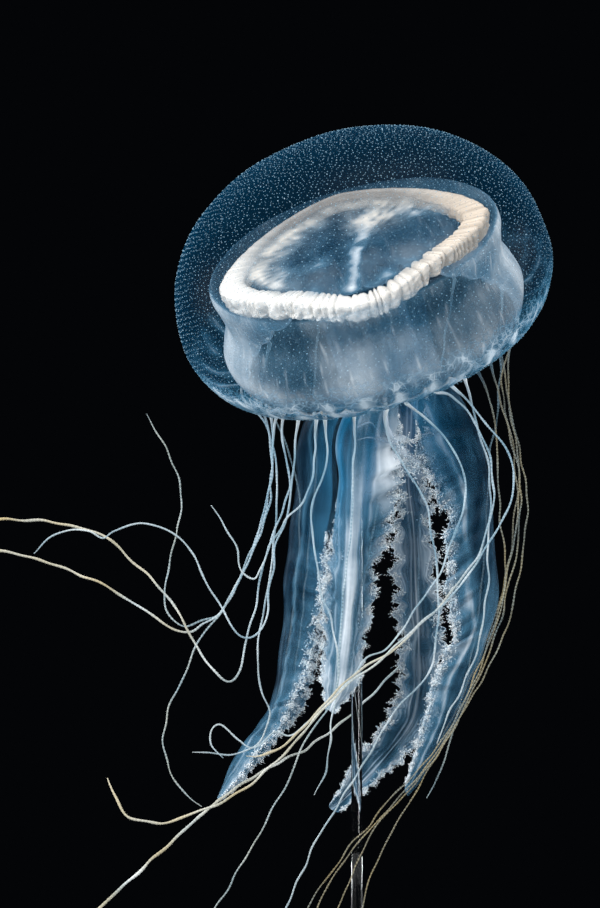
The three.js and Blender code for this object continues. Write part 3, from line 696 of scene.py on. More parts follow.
def makeWarts(values, shape):
    # warts spread evenly by area down the outline: each takes the next golden angle, then a jitter
    outline, outerRows = bellOutline(shape)
    r, z, down = outline[:outerRows].T
    r, z, down = np.insert(r, 0, 0.0), np.insert(z, 0, shape["crown"]), np.insert(down, 0, 0.0)
    row = np.arange(len(r))
    between = (down[1:] + down[:-1]) / 2
    crowd = 1 + (values["marginDensity"] - 1) * smoothStep(*values["crowdFrom"], between)
    area = np.pi * (r[1:] + r[:-1]) * np.hypot(np.diff(r), np.diff(z)) * crowd
    area = np.concatenate([[0], np.cumsum(area)])
    count = int(area[-1] / (values["spacing"]**2 * values["packing"]))
    share = (np.arange(count) + 0.5) / count
    at = np.interp(share * area[-1], area, row)
    at = at + dice.normal(size=count) * values["scatter"] / 2
    at = np.clip(at, 0.4, row[-1] - 0.6)  # off the apex and off the margin's edge
    radius, height = np.interp(at, row, r), np.interp(at, row, z)
    angle = np.arange(count) * np.pi * (3 - math.sqrt(5))
    jitter = values["scatter"] * values["spacing"] / np.maximum(radius, values["apexRadius"])
    angle = angle + dice.normal(size=count) * jitter
    radius = radius + shape["swell"] * bellSwell(angle, radius, height)
    half = 0.3  # of a row, either way, to find the slope
    slopeR = np.interp(at + half, row, r) - np.interp(at - half, row, r)
    slopeZ = np.interp(at + half, row, z) - np.interp(at - half, row, z)
    normal = unit(stacked(-slopeZ * np.cos(angle), -slopeZ * np.sin(angle), slopeR)) @ lean.T
    size = dice.uniform(*values["radius"], count)
    faint = values["skirtFainter"] * smoothStep(*values["faintFrom"], np.interp(at, row, down))
    milk = values["milk"] + values["milkSpread"] * dice.normal(size=count) - faint
    milk = np.clip(milk, values["least"], 1)
    places = bellPlace(angle, radius, height)
    warts = beadShape(places, size, beadTemplate(), normal, values["height"], milk)
    makePiece("bellWarts", warts, [wart])


makeWarts(wartValues, bellShape)


# gonads: one folded ring under the roof. Some values are spread round the ring by its places, each
# in degrees round the bell with its width
gonadValues = {
    "outerRadius": 56.9, "top": 17.75, "squareness": 1.52,
    "drawnIn": 4.2,  # mm that the front hangs inside the wall
    "frontPoint": 1.4,  # mm that the front corner stands out
    # inwards from the outer radius, down from the top, and share of the folds
    "section": [
        (6.5, 0, 0), (1.6, 0.2, 0), (0.1, 2.2, 0.1), (0.8, 6.5, 0.5), (1.6, 9.4, 0.9),
        (4.6, 10.6, 1.0), (9.0, 8.8, 1.0), (12.0, 5.4, 0.9), (12.2, 2.2, 0.5), (11.2, 0.2, 0),
    ],
    "middle": (6.4, 5.2),  # of the section, which the clefts close in on
    "places": {
        "frontRight": (312, 42), "frontLeft": (222, 36), "front": (268, 62), "behind": (90, 62),
        "rightEnd": (5, 40), "corner": (262, 9), "flatRight": (312, 30), "flatLeft": (224, 30),
    },
    "flatter": {"flatRight": 0.26, "flatLeft": 0.24},  # off the squareness: a straighter outline
    "folds": 74, "drift": [(2.6, 26, 21), (1.5, 9, 27)], "slant": 0.10,
    "cleftSharp": 1.3, "cleft": 0.40, "deepest": 0.6, "cleftUneven": [(0.7, 12, 22)],
    "clefts": {"everywhere": 0.03, "frontRight": 1.0, "frontLeft": 0.55},
    "plump": {"everywhere": 1.0, "frontLeft": -0.12, "frontRight": -0.26, "behind": -0.36},
    "swell": [(0.9, 22, 23)],
    "puff": [(0.7, 7, 28)], "puffs": {"frontRight": 1.0, "frontLeft": 0.8},
    "wrinkle": [(0.55, 4.6, 24)], "wrinkleStretch": 1.6, "wrinkleTop": 0.3, "smootherBehind": 0.6,
    "rise": 0.3,  # the most that a wrinkle may come above the top
    "milk": {"everywhere": 1.0, "behind": -0.80, "rightEnd": -0.04, "frontRight": -0.06},
    "milkCloud": [(0.06, 7, 25)], "cleftShade": 0.30, "shadeSharp": 0.7,
    "shades": {"frontRight": 1.0, "frontLeft": 0.35},
    "innerFade": (3, 11), "innerShade": 0.55,  # mm inwards over which the ring turns clear
    "innerShades": {"everywhere": 0.12, "behind": 1.0},
    "tint": {"behind": 0.40, "rightEnd": 0.60, "frontRight": 0.30},
    "round": 60,  # the radius at which the noise is measured
    "columns": 1500, "around": 48,
}


def makeGonads(values):
    # the superellipse |cos|^p + |sin|^p gives the ring's outer line. The section is carried round
    # it, and clefts close in on its middle, with round lobes between them: deep on the front right,
    # low and broad on the front left, and nearly none behind
    angle = np.linspace(0, 2 * np.pi, values["columns"], endpoint=False)[:, None]
    at = {place: roundHill(angle, *where) for place, where in values["places"].items()}
    at["everywhere"] = 1.0

    def spread(key):
        return sum(strength * at[place] for place, strength in values[key].items())

    circle = stacked(np.cos(angle), np.sin(angle), 0 * angle) * values["round"]
    power = values["squareness"] - spread("flatter")
    outer = (np.abs(np.cos(angle))**power + np.abs(np.sin(angle))**power)**(-1 / power)
    outer = values["outerRadius"] * outer
    outer = outer + values["frontPoint"] * at["corner"] - values["drawnIn"] * at["front"]
    section = np.array(values["section"] + values["section"][:1], float)
    profile = alongLine(section, np.linspace(0, 1, values["around"], endpoint=False))[None]
    inwards, down, share = profile[..., 0], profile[..., 1], profile[..., 2]
    middleIn, middleDown = values["middle"]

    phase = angle * values["folds"] / 2 + layered(circle, values["drift"])
    phase = phase + values["slant"] * (down - middleDown)
    cleft = (1 - np.abs(np.sin(phase)))**values["cleftSharp"]
    depth = values["cleft"] * spread("clefts") * (1 + layered(circle, values["cleftUneven"]))
    plump = spread("plump")
    size = (1 - cleft * np.clip(depth, 0, values["deepest"])) * plump
    puff = layered(circle, values["puff"]) * spread("puffs") * share
    local = circle + stacked(0, 0, down * values["wrinkleStretch"])
    fine = layered(local, values["wrinkle"]) * (1 - values["smootherBehind"] * at["behind"])
    fine = fine * (values["wrinkleTop"] + (1 - values["wrinkleTop"]) * share)
    radius = outer - middleIn * plump - (inwards - middleIn) * size
    radius = radius + layered(circle, values["swell"]) * share + puff + fine
    height = values["top"] - middleDown * plump - (down - middleDown) * size + (fine - puff) / 2
    height = np.minimum(height, values["top"] + values["rise"])

    shade = cleft**values["shadeSharp"] * np.clip(spread("shades"), 0, 1)
    milk = spread("milk") - values["cleftShade"] * shade + layered(circle, values["milkCloud"])
    inner = values["innerShade"] * smoothStep(*values["innerFade"], inwards)
    milk = milk - inner * spread("innerShades")
    tint = spread("tint") + 0 * milk
    index = np.arange(radius.size).reshape(radius.shape)
    index = np.concatenate([index, index[:1]])
    index = np.concatenate([index, index[:, :1]], axis=1)
    places = bellPlace(angle, radius, height)
    ring = makeShape(places, gridFaces(index), None, np.clip(milk, 0, 1), np.clip(tint, 0, 1))
    nodes = ["gonad_right", "gonad_back", "gonad_left", "gonad_front"]
    makePiece("gonadRing", facingOut(ring), [gonadFold], nodes)


makeGonads(gonadValues)


# manubrium: the four-cornered stalk from the roof to the arms
manubriumValues = {
    "top": 18.4, "length": 56.8, "firstCorner": 57.0,
    "cornerRadius": [34, 27, 24.5, 24], "sideRadius": [24, 16, 13.5, 13],
    "cornerSharp": 1.5,
    "ridge": 0.9, "ridgeLength": 6, "ridgeRound": 30, "ridgeStretch": 20 / 3, "ridgeSeed": 31,
    # milkiness at the top and what is added down to the lower end: to all of it, to the ridges and
    # to the corners
    "milk": 0.02, "lowMilk": 0.42, "ridgeMilk": 0.12, "cornerMilk": 0.22,
    "lowSharp": 1.5, "cornerNarrow": 6,
    "rows": 90, "columns": 240,
}


def makeManubrium(values):
    # r = side + (corner - side) (0.5 + 0.5 cos 4a)^sharp, both radii smooth down the stalk
    t = np.linspace(0, 1, values["rows"])[:, None]
    angle = np.linspace(0, 2 * np.pi, values["columns"], endpoint=False)[None, :]
    corner, side = alongLine(values["cornerRadius"], t), alongLine(values["sideRadius"], t)
    toCorner = 0.5 + 0.5 * np.cos(4 * angle)
    radius = side + (corner - side) * toCorner**values["cornerSharp"]
    turn = angle + math.radians(values["firstCorner"])
    height = values["top"] - values["length"] * t
    x, y = values["ridgeRound"] * np.cos(turn), values["ridgeRound"] * np.sin(turn)
    folds = stacked(x, y, height / values["ridgeStretch"])
    ridges = wander(folds, values["ridgeLength"], values["ridgeSeed"])
    radius = radius - values["ridge"] * (0.5 - 0.5 * ridges)
    milk = values["milk"] + values["lowMilk"] * t**values["lowSharp"]
    milk = milk + values["ridgeMilk"] * ridges * t
    milk = milk + values["cornerMilk"] * t * toCorner**values["cornerNarrow"]
    stalk = ringShape(bellPlace(turn, radius, height), np.clip(milk, 0, 1))
    makePiece("manubriumStalk", stalk, [stalkVeil], ["manubrium"])


makeManubrium(manubriumValues)


# oral arms: each a trough between two frilled lips, with its keel on the outer side. Both lines
# start at one of the stalk's corners
oralArms = {
    "left": {
        "corner": 1,
        "keel": [
            (-24, 30, 229), (-26, 34, 208), (-29, 36, 188), (-31, 37, 164), (-32, 37, 144),
            (-36, 35, 120), (-42, 32, 109), (-50, 30, 98), (-58, 26, 80),
        ],
        "lips": [
            (-10, 28, 228), (-11, 32, 200), (-15, 34, 178), (-18, 35, 160), (-22, 35, 140),
            (-26, 33, 122), (-35, 31, 107), (-45, 28, 94), (-57, 25.5, 79),
        ],
        "opening": [9, 6, 6, 6, 5.5, 5, 4.5, 4, 1],
    },
    "front": {
        "corner": 2,
        "keel": [
            (-3, -13, 222), (-4, -14, 200), (-5, -14, 180), (-6, -14, 160), (-8, -13, 140),
            (-10, -12, 124), (-13, -11, 116),
        ],
        "lips": [
            (2, 0, 226), (1, -2, 206), (-2, -4, 186), (-5, -5, 166), (-7, -6, 146), (-9, -8, 129),
            (-13, -10, 115),
        ],
        "opening": [9, 12.5, 11, 9.5, 8, 7, 6, 1.5],
    },
    "right": {
        "corner": 3,
        "keel": [
            (43, 0, 234), (48, 2, 222), (51, 4, 208), (52, 5, 192), (54, 6, 176), (54, 6, 160),
            (50, 5, 144), (44, 4, 125), (36, 2, 109), (28, 0, 95), (18, -2, 82),
        ],
        "lips": [
            (25, 8, 232), (30, 8, 212), (38, 8, 198), (38, 8, 180), (38, 8, 164), (40, 7, 150),
            (37, 6, 138), (31, 5, 125), (27, 3, 110), (22, 0, 97), (17, -2, 84),
        ],
        "opening": [9, 6, 6, 6, 6, 5.5, 5, 4.5, 4, 1],
    },
    "back": {
        "corner": 0,
        "keel": [
            (20, 36, 230), (19, 42, 208), (21, 46, 188), (22, 47, 164), (23, 47, 144),
            (23, 45, 124), (20, 43, 110), (11, 40, 98), (0, 37, 86), (-12, 35, 75),
        ],
        "lips": [
            (17, 27, 226), (20, 31, 206), (21, 34, 188), (22, 36, 164), (24, 36, 144),
            (23, 35, 124), (18, 34, 109), (9, 33, 98), (-1, 32, 87), (-11, 33, 76),
        ],
        "opening": [9, 4.5, 5, 6.5, 6.5, 6.5, 6, 5, 2],
    },
}
# how each arm looks: how milky its veil is, how bright the rib along its keel and its two lips
# are, where along it their frills begin, and what its lower end adds. Streaks are thin pale lines,
# each at its place across the arm. A glow is a milky or a clear spot and a tint is a bluer one:
# how far along the arm and across it, its two sizes and its strength
armLooks = {
    "left": {
        "veil": 0.03, "rib": 0.04, "lips": (0.34, 0.20), "frillFrom": (0.28, 0.22), "end": 0.28,
        "flutes": 0.16, "streaks": [(-0.62, 0.30), (0.5, 0.15)],
        "glows": [(0.66, 0.7, 0.16, 0.5, 0.22), (0.66, -0.6, 0.14, 0.4, 0.12)],
        "tint": [(0.12, -1.0, 0.24, 0.35, 0.6)],
    },
    "front": {
        "veil": 0.26, "rib": 0.22, "lips": (0.30, 0.20), "frillFrom": (0.08, 0.42), "end": 0.30,
        "flutes": 0.07, "streaks": [(-0.62, 0.22), (-0.30, 0.12), (0.22, 0.20), (0.60, 0.24)],
        "glows": [
            (0.20, -1.0, 0.085, 0.50, 0.55), (0.10, 0.45, 0.18, 0.30, -0.30),
            (0.62, -0.12, 0.45, 0.26, 0.50),
        ],
        "tint": [(0.10, 0.55, 0.26, 0.45, 0.85), (0.20, -0.45, 0.16, 0.20, 0.6)],
    },
    "right": {
        "veil": 0.04, "rib": 0.04, "lips": (0.26, 0.40), "frillFrom": (0.05, 0.08), "end": 0.06,
        "flutes": 0.16, "streaks": [(0.80, 0.35), (-0.5, 0.12)],
        "glows": [(0.60, 0.35, 0.12, 0.5, 0.30)],
        "tint": [(0.05, 0.9, 0.16, 0.5, 0.5)],
    },
    "back": {
        "veil": 0.34, "rib": 0.60, "lips": (0.25, 0.25), "frillFrom": (0.10, 0.10), "end": 0.0,
        "flutes": 0.16, "streaks": [(-0.3, 0.25)],
        "glows": [(0.10, 0.0, 0.05, 1.0, 0.2), (0.34, 0.0, 0.2, 1.2, 0.12)],
        "tint": [(0.10, 0.0, 0.14, 0.9, 0.5)],
    },
}
armValues = {
    "thickness": 0.5, "thinner": 0.4, "rootShare": 0.16, "rows": 460, "columns": 60,
    "below": 0.95, "lipRoot": 0.4,  # the start under the stalk, and how far in the lips start there
    # the first arm's seed, which each arm and each of its noises counts on from
    "seed": 40, "ownSeeds": {"heave": 4, "rib": 6, "flutes": 8, "clouds": 10, "streaks": 20},
    # how wide each noise takes the arm to be, from the middle to a lip, in mm
    "across": {"uneven": 9, "heave": 14, "flutes": 16, "clouds": 9},
    # the frill: how far it stands past the lip, the share of the width between keel and lip that
    # its columns take, and over what share of the arm it begins
    "flange": 3.6, "flangeShare": 0.3, "frillGrows": 0.08, "uneven": (0.45, 13),
    "ruffle": 1.5, "ruffleLength": 8.5, "ruffleDrift": (1.7, 1.2), "ruffleFrom": 0.35,
    "crimp": 0.8, "crimpLength": 3.1, "crimpDrift": (0.9, 2.0),
    "heave": (0.5, 18),  # the trough's own slow waves
    "ribWidth": 0.07, "ribUneven": (0.7, 0.3, 24),
    "streakWidth": 0.045, "streakDrift": (0.05, 26),
    "fluteLength": 2.3, "fluteStretch": 12, "clouds": (0.16, 15), "leastCloud": 0.35,
    "lipFrom": (0.60, 1.05), "lipUneven": (0.75, 0.25),
    "endFrom": 0.55, "endMilk": 0.8, "brimFrom": 0.85, "brimMilk": 0.30, "rootFade": (-0.02, 0.07),
}


def armFrame(one, values, t):
    # the trough's middle between the lips, its direction out to the keel, its side, and its sizes
    angle = math.radians(manubriumValues["firstCorner"] + 90 * one["corner"])
    low = manubriumValues["top"] - manubriumValues["length"] - values["below"]
    reach = manubriumValues["cornerRadius"][-1]
    fine = np.linspace(0, 1, values["rows"])

    def atShares(line):
        return np.stack([np.interp(t, fine, line[:, k]) for k in range(3)], -1)

    keel = alongLine([bellPlace(angle, reach, low), *one["keel"]], fine)
    lips = alongLine([bellPlace(angle, reach * values["lipRoot"], low), *one["lips"]], fine)
    out = unit(keel - lips)
    free = smoothStep(0, values["rootShare"], fine)[:, None]
    startSide = lean @ np.array([math.sin(angle), -math.cos(angle), 0])
    side = unit(np.cross(unit(np.gradient(keel, axis=0)), out))
    side = unit(side * free + startSide * (1 - free))
    return {
        "middle": atShares(lips), "out": atShares(out), "side": atShares(side),
        "length": np.linalg.norm(np.diff(lips, axis=0), axis=1).sum(),
        "depth": np.interp(t, fine, np.linalg.norm(keel - lips, axis=-1)),
        "width": alongLine(one["opening"], t), "free": smoothStep(0, values["rootShare"], t),
    }


def armPlace(trough, s, extra, lift):
    # place = middle + out depth (1 - s^2) + side width s; past the lips "extra" carries on along
    # the edge's own slope, and "lift" goes square to it
    inside = np.clip(s, -1, 1)[..., None]
    depth, width = trough["depth"][:, None, None], trough["width"][:, None, None]
    out, side = trough["out"][:, None], trough["side"][:, None]
    place = trough["middle"][:, None] + out * depth * (1 - inside**2) + side * width * inside
    outwards = 1.1  # the frill turns down a little less than the trough's edge, whose slope has 2
    edge = unit(-outwards * depth * np.abs(inside) * out + side * width * np.sign(inside))
    square = unit(out * width + side * 2 * depth * inside)
    return place + edge * extra[..., None] + square * lift[..., None], edge, square


def frillShape(trough, t, s, past, frillFrom, values, seed):
    # how far the frill stands out past the lip and waves to either side of it. "past" is 0 at the
    # lip and 1 at the frill's edge, and "alive" is how much of the frill there is
    distance = (t * trough["length"])[:, None]
    hand = np.sign(s)
    begin = np.where(s < 0, frillFrom[0], frillFrom[1])
    alive = smoothStep(begin, begin + values["frillGrows"], t[:, None]) * (1 - t[:, None]**3)
    strength, length = values["uneven"]
    uneven = wander(stacked(distance, values["across"]["uneven"] * hand), length, seed)
    extra = past * values["flange"] * alive * (1 + strength * uneven)

    def wave(key):
        apart, drift = values[key + "Drift"]
        phase = distance / values[key + "Length"] * 2 * np.pi + apart * hand + drift * uneven
        return values[key] * np.sin(phase)

    waviness = smoothStep(values["ruffleFrom"], 1.0, np.abs(s)) * alive
    lift = waviness * (wave("ruffle") + past * wave("crimp"))
    strength, length = values["heave"]
    across, own = values["across"]["heave"] * np.clip(s, -1, 1), values["ownSeeds"]["heave"]
    heave = strength * wander(stacked(distance, across), length, seed + own)
    return extra, lift + heave * trough["free"][:, None], uneven, alive


def armMilk(t, s, past, distance, uneven, alive, look, values, seed):
    # milkiness = veil + rib exp(-(s / width)^2) + streaks + flutes and clouds + lips + glows, more
    # of it towards the lower end and along the frill's brim
    own = values["ownSeeds"]
    even, rest, length = values["ribUneven"]
    ribNoise = wander(stacked(distance, 0 * s), length, seed + own["rib"])
    milk = look["veil"] + look["rib"] * hill(s, 0, values["ribWidth"]) * (even + rest * ribNoise)
    drift, length = values["streakDrift"]
    for place, bright in look["streaks"]:
        streakSeed = seed + own["streaks"] + round(10 * place)
        crooked = place + drift * wander(stacked(distance, 0 * s), length, streakSeed)
        milk = milk + bright * hill(s, crooked, values["streakWidth"])
    local = stacked(distance / values["fluteStretch"], values["across"]["flutes"] * s)
    flutes = look["flutes"] * wander(local, values["fluteLength"], seed + own["flutes"])
    strength, length = values["clouds"]
    local = stacked(distance, values["across"]["clouds"] * s)
    clouds = strength * wander(local, length, seed + own["clouds"])
    milk = milk + (flutes + clouds) * (values["leastCloud"] + look["veil"])
    even, rest = values["lipUneven"]
    lip = np.where(s < 0, look["lips"][0], look["lips"][1])
    milk = milk + lip * smoothStep(*values["lipFrom"], np.abs(s)) * (even + rest * uneven)
    milk = milk + armSpots(t, s, look["glows"])
    milk = milk + look["end"] * values["endMilk"] * smoothStep(values["endFrom"], 1.0, t)[:, None]
    milk = milk + values["brimMilk"] * smoothStep(values["brimFrom"], 1.0, past) * alive
    return milk * smoothStep(*values["rootFade"], t)[:, None]


def armSpots(t, s, places):
    # the sum of strength exp(-distance^2) over soft spots on the arm
    total = 0 * s
    for alongArm, acrossArm, longways, sideways, strength in places:
        apart = ((t[:, None] - alongArm) / longways)**2 + ((s - acrossArm) / sideways)**2
        total = total + strength * np.exp(-apart)
    return total


def makeArm(name, one, look, values):
    t = np.linspace(0, 1, values["rows"])
    trough = armFrame(one, values, t)
    reach = 1 + values["flangeShare"]
    s = np.linspace(-reach, reach, values["columns"])[None, :] + 0 * t[:, None]
    past = np.clip((np.abs(s) - 1) / values["flangeShare"], 0, 1)
    seed = values["seed"] + one["corner"]
    extra, lift, uneven, alive = frillShape(trough, t, s, past, look["frillFrom"], values, seed)
    grid = armPlace(trough, s, extra, lift)[0]
    distance = (t * trough["length"])[:, None]
    milk = np.clip(armMilk(t, s, past, distance, uneven, alive, look, values, seed), 0, 1)
    tint = np.clip(armSpots(t, s, look["tint"]), 0, 1)
    veil = sheetShape(grid, values["thickness"] * (1 - values["thinner"] * past), milk, tint)
    nodes = [f"oral_arm_{name}_upper", f"oral_arm_{name}_lower"]
    makePiece(f"oralArm{name.capitalize()}", veil, [armVeil], nodes)


# the fingers of the lips: each is a short string of grains that touch
fingerValues = {
    "tries": 6750, "most": 2700, "along": (0.02, 0.99),
    "lengths": (1.1, 4.4), "grains": 7, "radius": (0.14, 0.29),
    "clumpLength": 6.4, "clumpDrift": (2.2, 1.5, 9), "leastKept": 0.12, "clumpSharp": 1.5,
    "place": (0.65, 0.45),  # mean and spread, from 0 at the lip to 1 at the frill's edge
    "outwards": 0.8, "turns": (0.5, 0.9, 0.9),  # how straight out, and the chance in each way
    "leastLength": 0.35, "scatter": 0.13, "start": 0.3, "stretch": 1.25,
    "thinnerDown": 0.2, "taper": (1.15, 0.3),
    "milk": 0.28, "tipMilk": 0.42, "milkSpread": 0.28, "clumpMilk": 0.22, "tintSpread": 0.10,
}


def fingerGrains(root, grow, long, grains, radius, values):
    # centres = root + grow long (k + start) / n, scattered a little; gives them with their radii
    # and how far along the finger they are
    steps = (np.arange(grains) + values["start"]) / grains
    centres = root[:, None] + grow[:, None] * (long[:, None] * steps)[..., None]
    centres = centres + dice.normal(size=centres.shape) * values["scatter"]
    return centres, dice.uniform(*radius, centres.shape[:2]), steps


def makeFingers(name, one, look, arm, values):
    # each finger starts on the frill and grows away from the lip; fingers crowd where a slow wave
    # along the lip is high
    tries = values["tries"]
    t = dice.uniform(*values["along"], tries)
    hand = np.sign(dice.uniform(-1, 1, tries))
    distance = t * armFrame(one, arm, np.array([0.5]))["length"]
    apart, drift, driftLength = values["clumpDrift"]
    phase = 2 * np.pi * distance / values["clumpLength"] + apart * hand
    wave = 0.5 + 0.5 * np.sin(phase + drift * np.sin(distance / driftLength + hand))
    least = values["leastKept"]
    keep = dice.uniform(0, 1, tries) < least + (1 - least) * wave**values["clumpSharp"]
    keep &= t > np.where(hand < 0, look["frillFrom"][0], look["frillFrom"][1])
    t, hand, wave = (kept[keep][:values["most"]] for kept in (t, hand, wave))
    trough = armFrame(one, arm, t)
    mean, spread = values["place"]
    past = np.clip(dice.normal(size=len(t)) * spread + mean, 0, 1)
    s = (hand * (1 + arm["flangeShare"] * past))[:, None]
    seed = arm["seed"] + one["corner"]
    extra, lift, _, alive = frillShape(trough, t, s, past[:, None], look["frillFrom"], arm, seed)
    root, edge, square = (place[:, 0] for place in armPlace(trough, s, extra, lift))
    turn = dice.normal(size=(len(t), 3)) * np.array(values["turns"])
    grow = edge * (values["outwards"] + turn[:, :1]) + square * turn[:, 1:2]
    grow = unit(grow + np.cross(edge, square) * turn[:, 2:])
    least = values["leastLength"]
    long = dice.uniform(*values["lengths"], len(t)) * (least + (1 - least) * wave)
    long = long * (least + (1 - least) * alive[:, 0])
    centres, size, steps = fingerGrains(root, grow, long, values["grains"], values["radius"], values)
    thick, thinner = values["taper"]
    size = size * (1 - values["thinnerDown"] * t[:, None]) * (thick - thinner * steps)
    milk = values["milk"] + values["tipMilk"] * steps + values["clumpMilk"] * wave[:, None]
    milk = milk + values["milkSpread"] * dice.normal(size=size.shape)
    tint = values["tintSpread"] * dice.normal(size=size.shape)
    grains = beadShape(centres.reshape(-1, 3), size.ravel(), grainTemplate(), None, values["stretch"],
                       np.clip(milk, 0, 1).ravel(), np.clip(tint, 0, 1).ravel())
    makePiece(f"lipFingers{name.capitalize()}", grains, [lipGrain])


for armName, oneArm in oralArms.items():
    makeArm(armName, oneArm, armLooks[armName], armValues)
    makeFingers(armName, oneArm, armLooks[armName], armValues, fingerValues)


# mouth: where the lips of the front and the right arm meet, with a ridge down to it from the stalk,
# two fine canals across the front arm and a tuft of fingers
mouthValues = {
    "ridges": [
        {"radius": [0.9, 1.1, 1.5, 2.0, 1.7, 0.6], "milk": 0.84,
         "route": [(9, -8, 241), (9.6, -8, 231), (12, -7, 224), (16, -4, 219), (20, 1, 216), (24, 5, 215)]},
        {"radius": [0.32, 0.36, 0.30, 0.36, 0.45], "milk": 0.55,
         "route": [(-2, -15, 229), (3, -14, 231), (6, -12.5, 228), (7, -12, 225), (12, -7.5, 222)]},
        {"radius": [0.28, 0.32, 0.36], "milk": 0.50,
         "route": [(-2, -15, 224), (3, -14, 225), (8, -11.5, 223.5)]},
    ],
    "samples": 120, "sides": 12, "uneven": [(0.15, 4, 61)], "cloud": [(0.1, 6, 62)],
    "tuftFrom": (13, -8, 223), "tuftTo": (21, 2, 211), "tuftSpread": 1.32,
    "fingers": 260, "lengths": (1.0, 3.6), "grains": 6, "radius": (0.15, 0.30),
    "tuftMilk": 0.62,
}


def makeMouth(values, finger):
    ridges = []
    t = np.linspace(0, 1, values["samples"])
    for one in values["ridges"]:
        path = alongLine(one["route"], t)
        radius = alongLine(one["radius"], t) * (1 + layered(path, values["uneven"]))
        milk = one["milk"] + layered(path, values["cloud"])
        ridges.append(tubeShape(path, radius, values["sides"], milk, 0 * t))
    makePiece("mouthRidges", joined(ridges), [stalkVeil])
    count = values["fingers"]
    along = dice.uniform(0, 1, (count, 1))
    root = np.array(values["tuftFrom"]) * (1 - along) + np.array(values["tuftTo"]) * along
    root = root + dice.normal(size=(count, 3)) * values["tuftSpread"]
    grow = unit(dice.normal(size=(count, 3)))
    long = dice.uniform(*values["lengths"], count)
    centres, size, _ = fingerGrains(root, grow, long, values["grains"], values["radius"], finger)
    milk = np.clip(values["tuftMilk"] + finger["milkSpread"] * dice.normal(size=size.size), 0, 1)
    tuft = beadShape(centres.reshape(-1, 3), size.ravel(), grainTemplate(), None, finger["stretch"], milk)
    makePiece("mouthTuft", tuft, [lipGrain])


makeMouth(mouthValues, fingerValues)


